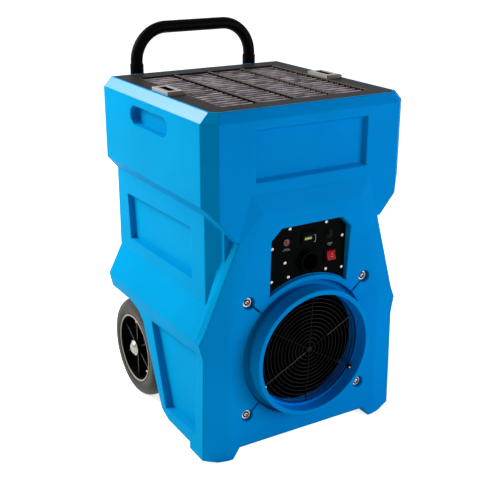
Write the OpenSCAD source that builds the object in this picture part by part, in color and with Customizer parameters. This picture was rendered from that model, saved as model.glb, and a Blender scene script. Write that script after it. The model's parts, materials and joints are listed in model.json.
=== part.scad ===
// Portable dehumidifier with a moulded cabinet, a top air filter, a round
// duct outlet at the front, two wheels and a fixed push handle.
// Origin: centre of the footprint on the floor. Front faces -Y, +Z is up.

/* [Cabinet] */
// Height of the cabinet's top rim above the floor
body_h = 800; // [760:1:840]
// Width across the upper box
box_w = 512; // [490:1:530]
// Front plane of the upper box, measured forward from the origin
box_front = 259; // [250:1:264]
// Back plane of the cabinet, measured back from the origin
body_back = 256; // [250:1:262]
// Width across the waist
waist_w = 460; // [440:1:470]
// Width across the widest line of the lower body
lower_w = 534; // [520:1:544]
// Wall of the moulded cabinet
wall = 5; // [4:0.5:6]
// Height of the bevel around the top rim
rim_bevel_h = 22; // [16:1:26]
// Depth of the moulded side recesses
recess_depth = 14; // [8:1:16]

/* [Wheels] */
// Outer radius of a tyre
tyre_r = 127; // [120:1:130]
// Width of a tyre
tyre_w = 58; // [50:1:62]
// Radius of the rim where the tyre sits
rim_r = 86; // [78:1:92]
// How far the axle lies behind the origin
axle_y = 146; // [140:1:150]
// Radius of the axle
axle_r = 8; // [6:0.5:9]
// Radial running clearance of a bush on the axle
run_gap = 0.05; // [0.02:0.01:0.09]

/* [Outlet] */
// Height of the outlet's centre
outlet_z = 236; // [232:1:240]
// Outer radius of the collar that a duct slides over
collar_r = 152; // [146:1:155]
// Wall of the collar
collar_wall = 11; // [8:0.5:12]
// How far the collar's lip stands forward of the origin
lip_front = 290.6; // [284:0.2:292]
// Pitch of the guard's rings
guard_pitch = 9.5; // [7:0.5:12]
// Radius of the guard's wire
wire_r = 1.3; // [1:0.1:1.6]

/* [Top filter] */
// Thickness of the filter frame
frame_t = 10; // [8:0.5:12]
// Pitch of the slats over the filter
slat_pitch = 10; // [8:1:14]
// Thickness of the filter medium
medium_t = 20; // [12:1:24]

/* [Handle] */
// Radius of the handle's tube
tube_r = 14.8; // [13:0.1:16]
// Wall of the sockets that hold the tube
socket_wall = 1.6; // [1.5:0.1:3]
// Distance between the two legs, centre to centre
handle_w = 320; // [300:1:330]
// Height of the handle's top bar above the cabinet's rim
handle_rise = 106; // [95:1:120]
// Radius of the bends, at the tube's centre
bend_r = 80; // [60:1:90]

/* [Panel] */
// Width of the control panel at its shoulders
panel_w = 204; // [200:1:210]
// Thickness of the control panel
panel_t = 2; // [1.5:0.1:3]
// Travel of the round reset button
button_travel = 2; // [1:0.1:3]

/* [Fits] */
// Gap between pieces that move past each other
gap = 0.3; // [0.2:0.05:0.5]

/* [Hidden] */

BLUE = [0.0, 0.45, 0.78];
BLACK = [0.05, 0.05, 0.055];
STEEL = [0.72, 0.72, 0.74];
BIG = 1200;
eps = 0.01;

// Cabinet outline
box_hw = box_w / 2;
waist_hw = waist_w / 2;
lower_hw = lower_w / 2;
rim_bevel_w = 20;
rim_front_w = 12;
corner_cut = 28;
box_bottom = body_h - 195;
tuck_z = 525;
tuck_x = 189;
waist_cut = 27;
waist_front = 197;
shelf_z = body_h - frame_t;
shelf_t = 5;
base_front = 250;
base_edge = 235;
bulge_z = 298;
stripe_z = 258;
bulge_low = lower_hw - 9;
skirt_hw = lower_hw - 4;
slope_z = 371;
underside_z = 28;
front_gap_z = 26;
foot_back = 173;
foot_in = lower_hw - 74;
foot_out = lower_hw - 39;
well_x = lower_hw - 79;
pad_x = [foot_in + 3, foot_out - 4];
pad_y = [-238, -180];
pad_t = 4;

// Hood over the outlet, as corner points of its right half
hood_face = [[128, -267, 580], [147, -264, 529], [204, -base_front, 300]];
hood_edge = [[151, -box_front, 621], [183, -box_front, 520], [skirt_hw - 1, -base_edge, 300]];
hood_back = [[151, -215, 621], [190, -218, 508], [lower_hw - 1, -215, 300]];

// Collar and its pocket
lip_y = -lip_front;
collar_in = collar_r - collar_wall;
pocket_r = collar_r + 13;
pocket_y = -236;
ear_x = 155;
ear_z = 138.5;
ear_rise = 5;
ear_r = 14;
arm_hw = 1.3;
arm_drop = 2;
ear_gap = 0.8;
flange_t = 4;
step_y = lip_y + 30;
neck_y = lip_y + 36;
step_r = collar_in - 4;
spigot_r = 145;
ear_front = [-245, -241.5];
ears = [for (sx = [-1, 1], i = [0, 1]) [sx * ear_x, ear_rise + (1 - 2 * i) * ear_z, ear_front[i]]];
washer_r = 10.5;
washer_t = 1.5;

// Control panel
seat_y = -246;
panel_face = seat_y - panel_t;
panel_hw = panel_w / 2;
panel_top = 537.5;
panel_mid = 514;
panel_low = 380;
panel_arc_r = 190;
panel_arc_z = 225;
lamp = [-58, 500];
meter = [0, 501];
breaker = [55, 501];
rocker = [61, 448];
inlet = [0, 447];
panel_holes = [[-48, 529], [48, 529], [-93, 490], [93, 490], [-59.5, 452],
               [-50, 417], [50, 417], [-94, 413.5], [94, 413.5]];

// Wheels and axle
axle_z = tyre_r;
wheel_x = well_x + 9 + tyre_w / 2;
hub_r = 20;
bush_r = 11;
hub_len = 52;
tyre_gap = 1.5;
tyre_round = 14;

// Top filter
frame_x = box_hw - 25;
frame_front = box_front - 16;
frame_back = body_back - 4.5;
grille_x = box_hw - 70;
grille_front = box_front - 60;
grille_back = body_back - 54;
frame_corner = 15;
frame_lip = 4;
notch_x = frame_x - 23;
notch_y = [-40.8, 46.3];
slat_z = body_h - 4;
slat_h = 4;
slat_t = 1.8;

// Latches
latch_out = frame_x - 2;
latch_in = frame_x - 40;
latch_top = body_h + 7.9;
latch_y = [-36.5, 42];
latch_pin_x = latch_in + 3.7;
latch_pin_z = body_h + 4.3;
latch_pin_r = 1;
latch_slot_x = [latch_in + 8.5, latch_in + 28];
latch_slot_y = [-25, 31];
post_gap = 0.5;
post_t = 3.5;
sheet_t = 1.5;

// Handle
socket_r = tube_r + 0.1 + socket_wall;
handle_y = body_back + gap + socket_r;
handle_z = body_h + handle_rise;
leg_x = handle_w / 2;
socket_top = body_h + 21;
socket_bottom = 545;
socket_floor = 5;
lug_z = [580, body_h - 34];
socket_bolts = [for (sx = [-1, 1], dx = [-25, 25], z = lug_z) [sx * leg_x + dx, z]];

// Rear service cover
cover_hw = 138;
cover_low = 80;
cover_top = 535;
cover_t = 3;
cover_screws = [for (sx = [-1, 1], z = [92, 236, 379, 523]) [sx * (cover_hw - 8), z]];

// Inside
back_y = pocket_y + wall;
fan_r = 136;
fan_front = -225;
fan_back = -195;
shroud_r = 141;
shroud_lip_r = 129;
shroud_lip_t = 3;
motor_r = 48;
motor_front = -180;
motor_back = -95;
shaft_r = 6;
pan_z = underside_z;
pan_t = 3;
pan_top = pan_z + pan_t;
comp_y = 25;
comp_r = 78;
comp_z = pan_top + 14;
comp_plate_t = 3;
comp_plate_hw = 75;
comp_shell_h = 215;
comp_dome_r = 120;
comp_dome_z = comp_z + 125;
comp_foot_x = 60;
pipe_x = 30;
pipe_y = 95;
pipe_z = 312;
pipe_side = 182;
comp_top = comp_dome_z + sqrt(pow(comp_dome_r, 2) - pow(pipe_x - 6, 2)) + 0.05;
divider_z = 343;
tray_hw = 170;
tray_y = [-82, 242];
drip_y = [-80, 70];
drip_h = 26;
drip_t = 2;
box_in_hw = 82;
box_in_z = [422, 518];
box_in_back = -178;
box_in_t = 2;
tray_z = divider_z + 3;
coil_z = tray_z + 2;
coil_top = body_h - 50;
coil_hw = 165;
fin_t = 1.2;
evaporator_y = [-62, -17];
condenser_y = [-2, 43];
base_bolts = [for (x = [-150, 0, 150], y = [-205, 228]) [x, y]];
drain = [0, 55];

function mirrored(p) = concat(p, [for (i = [len(p) - 1:-1:0]) [-p[i][0], p[i][1]]]);
function inset3(p, t) = [p[0] - t, p[1] + t, p[2] - t * 0.5];

// Prism with its outline in XZ, from y0 back to y1
module prism_xz(pts, y0, y1) {
    translate([0, y1, 0]) rotate([90, 0, 0]) linear_extrude(y1 - y0) polygon(pts);
}

// Prism with its outline in YZ, from x0 to x1
module prism_yz(pts, x0, x1) {
    translate([x0, 0, 0]) rotate([90, 0, 90]) linear_extrude(x1 - x0) polygon(pts);
}

// Prism along Y of 2-D children drawn in XZ
module along_y(y0, y1) {
    translate([0, y1, 0]) rotate([90, 0, 0]) linear_extrude(y1 - y0) children();
}

module block(x0, x1, y0, y1, z0, z1) {
    translate([x0, y0, z0]) cube([x1 - x0, y1 - y0, z1 - z0]);
}

module rod_x(x0, x1, r, y, z, fn = 64) {
    translate([x0, y, z]) rotate([0, 90, 0]) cylinder(h = x1 - x0, r = r, $fn = fn);
}

module rod_y(y0, y1, r, x, z, fn = 64) {
    translate([x, y1, z]) rotate([90, 0, 0]) cylinder(h = y1 - y0, r = r, $fn = fn);
}

module rod_z(z0, z1, r, x, y, fn = 64) {
    translate([x, y, z0]) cylinder(h = z1 - z0, r = r, $fn = fn);
}

// Children and their mirror image on the other side
module both() {
    children();
    mirror([1, 0, 0]) children();
}

// A side view outline is mirrored onto both sides
module side_cut(pts, x0, x1) {
    both() prism_yz(pts, x0, x1);
}

// Everything beyond a plane through p whose outward normal points at az, el
module beyond(p, az, el) {
    translate(p) rotate([0, -el, az]) translate([0, -BIG / 2, -BIG / 2]) cube([BIG, BIG, BIG]);
}

// ---- Cabinet ----

module box_solid(t, top) {
    c = corner_cut - t * 0.586;
    intersection() {
        linear_extrude(BIG) polygon(mirrored([
            [box_hw - t - c, -(box_front - t)], [box_hw - t, -(box_front - t) + c],
            [box_hw - t, body_back - t]]));
        prism_xz(mirrored([
            [box_hw - rim_bevel_w - t, top],
            [box_hw - t, body_h - rim_bevel_h - t * 0.4],
            [box_hw - t, box_bottom + t * 0.37],
            [tuck_x - t * 0.77, tuck_z + t * 0.64]]), -BIG / 2, BIG / 2);
        prism_yz([
            [-(box_front - rim_front_w - t), top],
            [-(box_front - t), body_h - rim_bevel_h - t * 0.4],
            [-(box_front - t), tuck_z - 1], [BIG / 2, tuck_z - 1], [BIG / 2, top]], -BIG / 2, BIG / 2);
    }
}

module box_outer() {
    difference() {
        box_solid(0, body_h);
        both() beyond([box_hw - corner_cut / 2 - 5, -box_front + corner_cut / 2 + 5,
            body_h - rim_bevel_h / 2], -45, 34);
    }
}

module waist_solid(t, z0, z1) {
    translate([0, 0, z0]) linear_extrude(z1 - z0) polygon(mirrored([
        [waist_hw - waist_cut - t, -base_edge + t],
        [waist_hw - waist_cut - t, -(waist_front + waist_cut - 0.414 * t)],
        [waist_hw - t, -(waist_front - 0.414 * t)],
        [waist_hw - t, body_back - t]]));
}

module lower_solid(t, z0) {
    intersection() {
        prism_xz(mirrored([
            [waist_hw - 40 - t, slope_z + 79],
            [waist_hw - t, slope_z], [lower_hw - t, bulge_z],
            [bulge_low - t, stripe_z], [skirt_hw - t, 11],
            [foot_out - t, z0]]), -BIG / 2, BIG / 2);
        linear_extrude(BIG) polygon(mirrored([
            [205 - t, -base_front + t], [270, -base_edge + 1.8 + t],
            [270, body_back - t]]));
        prism_yz([
            [-base_front + t, z0], [-base_front + t, 300 - t], [-base_edge + t, 330 - t],
            [-base_edge + t, 470], [BIG / 2, 470], [BIG / 2, z0]], -BIG / 2, BIG / 2);
    }
}

module hood_solid(t) {
    hull() both() {
        for (p = concat(hood_face, hood_edge, hood_back)) {
            translate(inset3(p, t)) cube([0.2, 0.2, 0.2], center = true);
        }
    }
}

// Space beside the wheels, and the raised underside
well_outline = [
    [BIG / 2, 262], [axle_y, 262], [99, 252], [72, 231], [-27, 42],
    [-62, underside_z], [BIG / 2, underside_z]];

// Room around a tyre, behind the skirt, with t of wall
module wheel_space(t) {
    both() rod_x(well_x - t, wheel_x + tyre_w / 2 + tyre_gap, tyre_r + 5 + t, axle_y, axle_z, 128);
}

// Pocket of the collar: a round, its four ears and a slit to each
module collar_outline(grow) {
    slit_hw = arm_hw + ear_gap + grow;
    translate([0, outlet_z]) {
        circle(r = pocket_r + grow, $fn = 180);
        for (p = ears) {
            translate([p[0], p[1]]) circle(r = ear_r + ear_gap + grow, $fn = 64);
            rotate(atan2(p[1], p[0])) translate([0, -slit_hw])
                square([norm([p[0], p[1]]), 2 * slit_hw]);
        }
    }
}

// Control panel outline, grown by g
module panel_outline(g) {
    difference() {
        polygon(mirrored([
            [78 + g * 0.4, panel_top + g], [panel_hw + g, panel_mid + g * 0.4],
            [panel_hw - 2 + g, panel_low - g]]));
        translate([0, panel_arc_z]) circle(r = panel_arc_r - g, $fn = 180);
    }
}

badge_hw = 142;
badge_z = [body_h - 153, body_h - 42];
badge_depth = 12;
grip_depth = 20;
grip_z = body_h - 60;
grip_outline = [
    [104, grip_z + 1], [100, grip_z + 12], [86, grip_z + 21], [-68, grip_z + 21],
    [-83, grip_z + 13], [-86, grip_z + 1], [-82, grip_z - 13], [-68, grip_z - 22],
    [88, grip_z - 22], [101, grip_z - 12]];
waist_recess = [[200, 520], [-135, 530], [-137, 412], [190, 406]];
lower_recess = [[24, 252], [-206, 266], [-201, 62], [-50, 53]];

// Moulded recesses, each t larger all round for the wall behind it
module recesses(t) {
    side_cut([for (p = grip_outline) [p[0] + sign(p[0]) * t, p[1] + sign(p[1] - grip_z) * t]],
        box_hw - grip_depth - t, box_hw + 20);
    side_cut([for (p = waist_recess) [p[0] + sign(p[0]) * t, p[1] + sign(p[1] - 460) * t]],
        waist_hw - recess_depth - t, waist_hw + 20);
    side_cut([for (p = lower_recess) [p[0] + sign(p[0] + 90) * t, p[1] + sign(p[1] - 150) * t]],
        bulge_low - recess_depth - t, skirt_hw + 20);
    hull() {
        block(-badge_hw - t, badge_hw + t, -box_front - 1, -box_front,
            badge_z[0] - t, badge_z[1] + t);
        block(-badge_hw + 5 - t, badge_hw - 5 + t, -box_front - 1, -box_front + badge_depth + t,
            badge_z[0] + 6 - t, badge_z[1] - 5 + t);
    }
}

module housing() {
    color(BLUE) difference() {
        union() {
            box_outer();
            waist_solid(0, 340, 610);
            lower_solid(0, 0);
            hood_solid(0);
        }
        difference() {
            union() {
                box_solid(wall, shelf_z - shelf_t);
                waist_solid(wall, 320, 620);
                lower_solid(wall, -10);
                hood_solid(wall);
            }
            recesses(wall);
            along_y(-300, pocket_y + wall) collar_outline(wall);
            along_y(-300, seat_y + wall) panel_outline(wall + 3);
            side_cut([for (p = well_outline) [p[0] - (p[0] < 300 ? wall : 0), p[1] + wall]],
                well_x - wall, BIG / 2);
            wheel_space(wall);
            // Bosses under the latches, solid feet and lugs for the base plate
            both() block(notch_x + gap, frame_x, notch_y[0], notch_y[1], shelf_z - 20, body_h);
            both() block(178, BIG / 2, -BIG / 2, -foot_back, -20, 30);
            for (p = base_bolts) {
                block(p[0] - 12, p[0] + 12, min(p[1] - 12, p[1] * 2), max(p[1] + 12, p[1] * 2),
                    pan_top, pan_top + 14);
            }
        }
        recesses(0);
        side_cut(well_outline, well_x, BIG / 2);
        wheel_space(0);
        // Underside between and behind the front feet
        block(-BIG / 2, BIG / 2, -foot_back, BIG / 2, -20, underside_z);
        prism_xz(mirrored([[175, front_gap_z], [foot_in, -1], [foot_in, -20]]), -BIG / 2, 0);
        // Seat of the filter frame and the opening under it
        difference() {
            frame_plan(gap, shelf_z, body_h + 20);
            both() block(notch_x + gap, frame_x + 5, notch_y[0], notch_y[1], 0, body_h);
        }
        block(-grille_x - 10, grille_x + 10, -grille_front - 10, grille_back + 10,
            shelf_z - 30, body_h);
        // Collar pocket, outlet bore and ear screws
        along_y(-BIG / 2, pocket_y) collar_outline(0);
        rod_y(-300, -200, spigot_r + gap, 0, outlet_z, 180);
        for (p = ears) rod_y(-300, -200, 3, p[0], outlet_z + p[1], 32);
        // Control panel seat and the opening behind it
        along_y(-BIG / 2, seat_y) panel_outline(2.5);
        block(-84, 84, -300, -200, 420, 520);
        for (p = panel_holes) rod_y(-300, -200, 1.7, p[0], p[1], 24);
        // Axle bores
        rod_x(-300, 300, axle_r + 0.1, axle_y, axle_z);
        // Base plate bolts, foot pads and drain
        for (p = base_bolts) rod_z(0, pan_top + 12, 2.6, p[0], p[1], 24);
        both() block(pad_x[0], pad_x[1], pad_y[0], pad_y[1], -1, pad_t);
        rod_y(200, 300, 8.1, drain[0], drain[1], 48);
        // Rear service opening, its screws and the handle bolts
        block(-cover_hw + 15, cover_hw - 15, 200, 300, cover_low + 15, cover_top - 15);
        for (p = cover_screws) rod_y(200, 300, 2.1, p[0], p[1], 24);
        for (p = socket_bolts) rod_y(200, 300, 3.1, p[0], p[1], 32);
    }
}

// Plan of the filter frame, grown by g, between two heights
module frame_plan(g, z0, z1) {
    c = frame_corner;
    translate([0, 0, z0]) linear_extrude(z1 - z0) polygon(mirrored([
        [frame_x + g - c, -frame_front - g], [frame_x + g, -frame_front - g + c],
        [frame_x + g, frame_back + g]]));
}

// Base plate inside the lower edge
pan_front = 238;
pan_neck = 170;

module base_pan() {
    color(STEEL) difference() {
        union() {
            block(-well_x + wall + 1, well_x - wall - 1, -foot_back + gap, body_back - wall - 1,
                pan_z, pan_top);
            block(-pan_neck, pan_neck, -pan_front, -foot_back + 1, pan_z, pan_top);
        }
        for (p = base_bolts) rod_z(0, 100, 2.6, p[0], p[1], 24);
    }
}

// Button head screws along Y with the head on a face at y
module screw_y(x, z, y, head_r, shank_r, len) {
    translate([x, y, z]) rotate([90, 0, 0]) intersection() {
        cylinder(h = head_r * 0.6, r = head_r, $fn = 32);
        translate([0, 0, -head_r * 0.7]) sphere(r = head_r * 1.3, $fn = 48);
    }
    rod_y(y - eps, y + len, shank_r, x, z, 24);
}

module base_screws() {
    color(STEEL) for (p = base_bolts) {
        rod_z(pan_z - 3, pan_z, 5, p[0], p[1], 6);
        rod_z(pan_z - eps, pan_top + 10, 2.5, p[0], p[1], 24);
    }
}

module foot_pads() {
    color(BLACK) both() block(pad_x[0], pad_x[1], pad_y[0], pad_y[1], 0, pad_t);
}

module rear_cover() {
    color(BLUE) difference() {
        block(-cover_hw, cover_hw, body_back, body_back + cover_t, cover_low, cover_top);
        for (p = cover_screws) rod_y(200, 300, 2.2, p[0], p[1], 24);
        for (i = [0:7]) {
            block(-90, 90, 200, 300, cover_low + 60 + i * 16, cover_low + 66 + i * 16);
        }
    }
}

module rear_cover_screws() {
    color(STEEL) for (p = cover_screws) mirror([0, 1, 0])
        screw_y(p[0], p[1], -(body_back + cover_t), 4.5, 2, cover_t + 6);
}

// ---- Outlet ----

module outlet_collar() {
    color(BLUE) difference() {
        union() {
            rod_y(lip_y, neck_y, collar_r, 0, outlet_z, 180);
            rod_y(neck_y - eps, pocket_y, collar_r - 3, 0, outlet_z, 180);
            rod_y(pocket_y - flange_t, pocket_y, pocket_r - 2, 0, outlet_z, 180);
            rod_y(pocket_y - eps, back_y, spigot_r, 0, outlet_z, 180);
            for (p = ears) {
                rod_y(p[2], pocket_y, ear_r, p[0], outlet_z + p[1], 64);
                along_y(p[2] + arm_drop, pocket_y) translate([0, outlet_z])
                    rotate(atan2(p[1], p[0])) translate([collar_r - 8, -arm_hw])
                        square([norm([p[0], p[1]]) - collar_r + 8, 2 * arm_hw]);
            }
        }
        rod_y(lip_y - 1, step_y, collar_in, 0, outlet_z, 180);
        difference() {
            rod_y(lip_y, back_y + 1, step_r, 0, outlet_z, 180);
            guard_around() rod_y(step_y, back_y, lug_r + 1, guard_fix_r, 0, 48);
        }
        for (p = ears) rod_y(-300, -200, 3, p[0], outlet_z + p[1], 32);
        guard_around() rod_y(-300, -233, 1.6, guard_fix_r, 0, 24);
    }
}

module collar_screws() {
    color(STEEL) for (p = ears) {
        screw_y(p[0], outlet_z + p[1], p[2] - washer_t, 7, 2.8, back_y - p[2] + washer_t);
    }
}

module collar_washers() {
    color(STEEL) for (p = ears) difference() {
        rod_y(p[2] - washer_t, p[2], washer_r, p[0], outlet_z + p[1], 48);
        rod_y(-300, -200, 3.1, p[0], outlet_z + p[1], 32);
    }
}

guard_r = step_r - 4.2 - wire_r;
guard_y = -263;
guard_spoke = wire_r * 0.9;
lug_r = 5.4;
lug_y = step_y - 10;
guard_fix_r = guard_r + 3.9;

// Children at the three fixings of the guard
module guard_around() {
    for (a = [33:120:360]) translate([0, 0, outlet_z]) rotate([0, a, 0]) children();
}

module ring_y(r, y, wire) {
    translate([0, y, outlet_z]) rotate([90, 0, 0]) rotate_extrude($fn = 64)
        translate([r, 0]) circle(r = wire, $fn = 6);
}

// Welded rings and spokes, with spacers that stand on the collar's inner step
module wire_guard() {
    color(BLACK) {
        for (r = [guard_r:-guard_pitch:guard_pitch * 1.5]) ring_y(r, guard_y, wire_r);
        for (a = [33:60:360]) translate([0, 0, outlet_z]) rotate([0, a, 0])
            rod_x(4, guard_r + 0.6, guard_spoke, guard_y - wire_r * 1.5, 0, 6);
        rod_y(guard_y - 3, guard_y, 7, 0, outlet_z, 48);
        guard_around() difference() {
            rod_y(lug_y, step_y, lug_r, guard_fix_r, 0, 48);
            rod_y(-300, -200, 1.8, guard_fix_r, 0, 24);
        }
    }
}

module guard_screws() {
    color(STEEL) guard_around() screw_y(guard_fix_r, 0, lug_y, 3, 1.5, 18);
}

// ---- Control panel ----

module control_panel() {
    color(BLACK) difference() {
        along_y(panel_face, seat_y) panel_outline(0);
        for (p = panel_holes) rod_y(-300, -200, 1.7, p[0], p[1], 24);
        rod_y(-300, -200, 6.6, lamp[0], lamp[1], 48);
        block(meter[0] - 15, meter[0] + 15, -300, -200, meter[1] - 11, meter[1] + 11);
        rod_y(-300, -200, 8.1, breaker[0], breaker[1], 48);
        block(rocker[0] - 13.6, rocker[0] + 13.6, -300, -200, rocker[1] - 15.1, rocker[1] + 15.1);
        rod_y(-300, -200, 22.1, inlet[0], inlet[1], 96);
    }
}

module panel_screws() {
    color(STEEL) for (p = panel_holes) screw_y(p[0], p[1], panel_face, 4.2, 1.5, 8);
}

module pilot_lamp_bezel() {
    color(STEEL) difference() {
        union() {
            rod_y(panel_face - 3, panel_face, 8.6, lamp[0], lamp[1], 64);
            rod_y(panel_face - eps, panel_face + 20, 6.5, lamp[0], lamp[1], 48);
        }
        rod_y(panel_face - 4, panel_face + 18, 5.5, lamp[0], lamp[1], 48);
    }
}

module pilot_lamp_lens() {
    color([0.75, 0.06, 0.05]) intersection() {
        rod_y(panel_face - 8, panel_face + 18, 5.4, lamp[0], lamp[1], 48);
        translate([lamp[0], panel_face - 0.5, lamp[1]]) {
            sphere(r = 6.5, $fn = 64);
            rotate([-90, 0, 0]) cylinder(h = 18.4, r = 5.4, $fn = 48);
        }
    }
}

module hour_meter_case() {
    color(BLACK) difference() {
        union() {
            block(meter[0] - 18, meter[0] + 18, panel_face - 3, panel_face,
                meter[1] - 14.5, meter[1] + 14.5);
            block(meter[0] - 14.8, meter[0] + 14.8, panel_face - eps, panel_face + 28,
                meter[1] - 10.8, meter[1] + 10.8);
        }
        block(meter[0] - 11, meter[0] + 11, panel_face - 4, panel_face - 1,
            meter[1] - 5, meter[1] + 5);
    }
}

module hour_meter_window() {
    color([0.35, 0.55, 0.25]) block(meter[0] - 11, meter[0] + 11,
        panel_face - 2.5, panel_face - 1, meter[1] - 5, meter[1] + 5);
}

module breaker_body() {
    color(BLACK) difference() {
        union() {
            rod_y(panel_face - 2.5, panel_face, 11, breaker[0], breaker[1], 6);
            rod_y(panel_face - 5, panel_face + 3, 8, breaker[0], breaker[1], 48);
            block(breaker[0] - 9, breaker[0] + 9, seat_y + eps, seat_y + 30,
                breaker[1] - 12, breaker[1] + 12);
        }
        rod_y(-300, seat_y + 12, 5 + run_gap, breaker[0], breaker[1], 48);
    }
}

module breaker_button() {
    color(BLACK) {
        rod_y(panel_face - 8.5, seat_y + 12 - button_travel - 1, 5, breaker[0], breaker[1], 48);
    }
}

rocker_r = 12.6;
rocker_tilt = 12;
rocker_y = panel_face + 1;
rocker_hw = 11;

module switch_bezel() {
    color(BLACK) difference() {
        union() {
            block(rocker[0] - 17, rocker[0] + 17, panel_face - 2.5, panel_face,
                rocker[1] - 17.5, rocker[1] + 17.5);
            block(rocker[0] - 13.5, rocker[0] + 13.5, panel_face - eps, panel_face + 22,
                rocker[1] - 15, rocker[1] + 15);
        }
        block(rocker[0] - rocker_hw - 0.3, rocker[0] + rocker_hw + 0.3,
            panel_face - 4, rocker_y + rocker_r + 1,
            rocker[1] - rocker_r - 0.4, rocker[1] + rocker_r + 0.4);
        rod_x(rocker[0] - 13, rocker[0] + 13, 1.5 + run_gap, rocker_y, rocker[1], 32);
    }
}

module switch_rocker() {
    color([0.75, 0.07, 0.05]) translate([rocker[0], rocker_y, rocker[1]]) {
        intersection() {
            rod_x(-rocker_hw, rocker_hw, rocker_r, 0, 0, 96);
            rotate([-rocker_tilt, 0, 0]) prism_yz([
                [-7.8, -rocker_r], [-5, 0], [-7.8, rocker_r],
                [3, rocker_r], [5, 0], [3, -rocker_r]], -rocker_hw, rocker_hw);
        }
        rod_x(-rocker_hw - 1.8, rocker_hw + 1.8, 1.5, 0, 0, 32);
    }
}

module power_inlet() {
    color(BLACK) difference() {
        union() {
            rod_y(panel_face - 4, panel_face, 28, inlet[0], inlet[1], 128);
            rod_y(panel_face - 12, panel_face, 24, inlet[0], inlet[1], 128);
            rod_y(panel_face - eps, panel_face + 34, 22, inlet[0], inlet[1], 96);
        }
        difference() {
            rod_y(panel_face - 13, panel_face + 22, 20, inlet[0], inlet[1], 96);
            for (a = [90:120:330]) translate([inlet[0], 0, inlet[1]]) rotate([0, a, 0])
                block(6.5, 8.2, panel_face - 6, panel_face + 23, -3.2, 3.2);
        }
    }
}

// ---- Top filter ----

module filter_frame() {
    color(BLACK) {
        difference() {
            frame_plan(0, shelf_z, body_h);
            both() block(notch_x, frame_x + 5, notch_y[0] - gap, notch_y[1] + gap, 0, BIG);
            block(-grille_x, grille_x, -grille_front, grille_back, 0, BIG);
            block(-grille_x - frame_lip, grille_x + frame_lip, -grille_front - frame_lip,
                grille_back + frame_lip, 0, slat_z);
        }
        for (x = [-grille_x / 2, 0, grille_x / 2]) {
            block(x - 3, x + 3, -grille_front - 1, grille_back + 1, slat_z, body_h);
        }
    }
}

module filter_slats() {
    color(BLACK) for (y = [-grille_front + slat_pitch / 2:slat_pitch:grille_back]) {
        block(-grille_x - 3, grille_x + 3, y - slat_t / 2, y + slat_t / 2, slat_z - slat_h, slat_z);
    }
}

module filter_medium() {
    color([0.8, 0.82, 0.84]) block(-grille_x - frame_lip, grille_x + frame_lip,
        -grille_front - frame_lip, grille_back + frame_lip,
        slat_z - slat_h - medium_t, slat_z - slat_h);
}

// Inverted channel that swings up about a pin on the frame
module latch_plate() {
    low = latch_pin_z - 1.9;
    difference() {
        union() {
            block(latch_in, latch_out, latch_y[0], latch_y[1], latch_top - sheet_t, latch_top);
            block(latch_in, latch_in + sheet_t, latch_y[0], latch_y[1], low, latch_top);
            block(latch_out - sheet_t, latch_out, latch_y[0], latch_y[1], body_h, latch_top);
            for (y = [latch_y[0], latch_y[1] - sheet_t]) {
                block(latch_in, latch_in + 8, y, y + sheet_t, low, latch_top);
            }
        }
        block(latch_slot_x[0], latch_slot_x[1], latch_slot_y[0], latch_slot_y[1], 0, BIG);
        rod_y(-BIG, BIG, latch_pin_r + run_gap, latch_pin_x, latch_pin_z, 24);
    }
}

module latch_plate_left() {
    color(STEEL) mirror([1, 0, 0]) latch_plate();
}

module latch_plate_right() {
    color(STEEL) latch_plate();
}

// Two posts on the filter frame hold each latch's pin
module latch_hinges() {
    front = latch_y[0] - post_gap;
    back = latch_y[1] + post_gap;
    color(STEEL) both() {
        rod_y(front - post_t, back + post_t, latch_pin_r, latch_pin_x, latch_pin_z, 24);
        for (y = [front - post_t, back]) {
            block(latch_pin_x - 3, latch_pin_x + 3, y, y + post_t, body_h, latch_pin_z + 3);
        }
    }
}

// End stops in front of the latches
module latch_strikes() {
    y = notch_y[0] - gap;
    color([0.7, 0.55, 0.3]) both() block(latch_in, latch_out, y - 1.5, y, body_h, latch_top - 0.4);
}

// ---- Handle ----

module handle_path(r) {
    z = handle_z - bend_r;
    both() {
        rod_z(socket_bottom + socket_floor, z, r, leg_x, 0, 64);
        translate([leg_x - bend_r, 0, z]) rotate([90, 0, 0])
            rotate_extrude(angle = 90, $fn = 96) translate([bend_r, 0]) circle(r = r, $fn = 48);
    }
    rod_x(-leg_x + bend_r, leg_x - bend_r, r, 0, handle_z, 64);
}

module handle() {
    color(BLACK) translate([0, handle_y, 0]) difference() {
        handle_path(tube_r);
        handle_path(tube_r - 2);
        both() rod_z(socket_bottom, socket_bottom + 30, tube_r - 2, leg_x, 0, 64);
    }
}

module handle_sockets() {
    color(BLACK) both() difference() {
        union() {
            rod_z(socket_bottom, socket_top, socket_r, leg_x, handle_y, 64);
            for (z = lug_z) {
                block(leg_x - 34, leg_x + 34, body_back, body_back + 3, z - 12, z + 12);
                block(leg_x - 10, leg_x + 10, body_back, body_back + 4, z - 12, z + 12);
            }
        }
        rod_z(socket_bottom + socket_floor, socket_top + 1, tube_r + 0.1, leg_x, handle_y, 64);
        for (p = socket_bolts) rod_y(200, 300, 3.2, p[0], p[1], 32);
    }
}

module handle_bolts() {
    color(STEEL) for (p = socket_bolts) mirror([0, 1, 0])
        screw_y(p[0], p[1], -(body_back + 3), 6, 3, 14);
}

// ---- Wheels ----

module axle() {
    color(STEEL) {
        rod_x(-wheel_x - hub_len / 2 + 2, wheel_x + hub_len / 2 - 2, axle_r, axle_y, axle_z, 48);
        both() {
            rod_x(well_x, wheel_x - hub_len / 2 - gap, axle_r + 5, axle_y, axle_z, 48);
            rod_x(wheel_x + hub_len / 2 - 2 - eps, wheel_x + hub_len / 2 + 2.5, 6, axle_y, axle_z, 48);
            rod_x(wheel_x + hub_len / 2 + gap, wheel_x + hub_len / 2 + 2, 11, axle_y, axle_z, 48);
        }
    }
}

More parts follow.
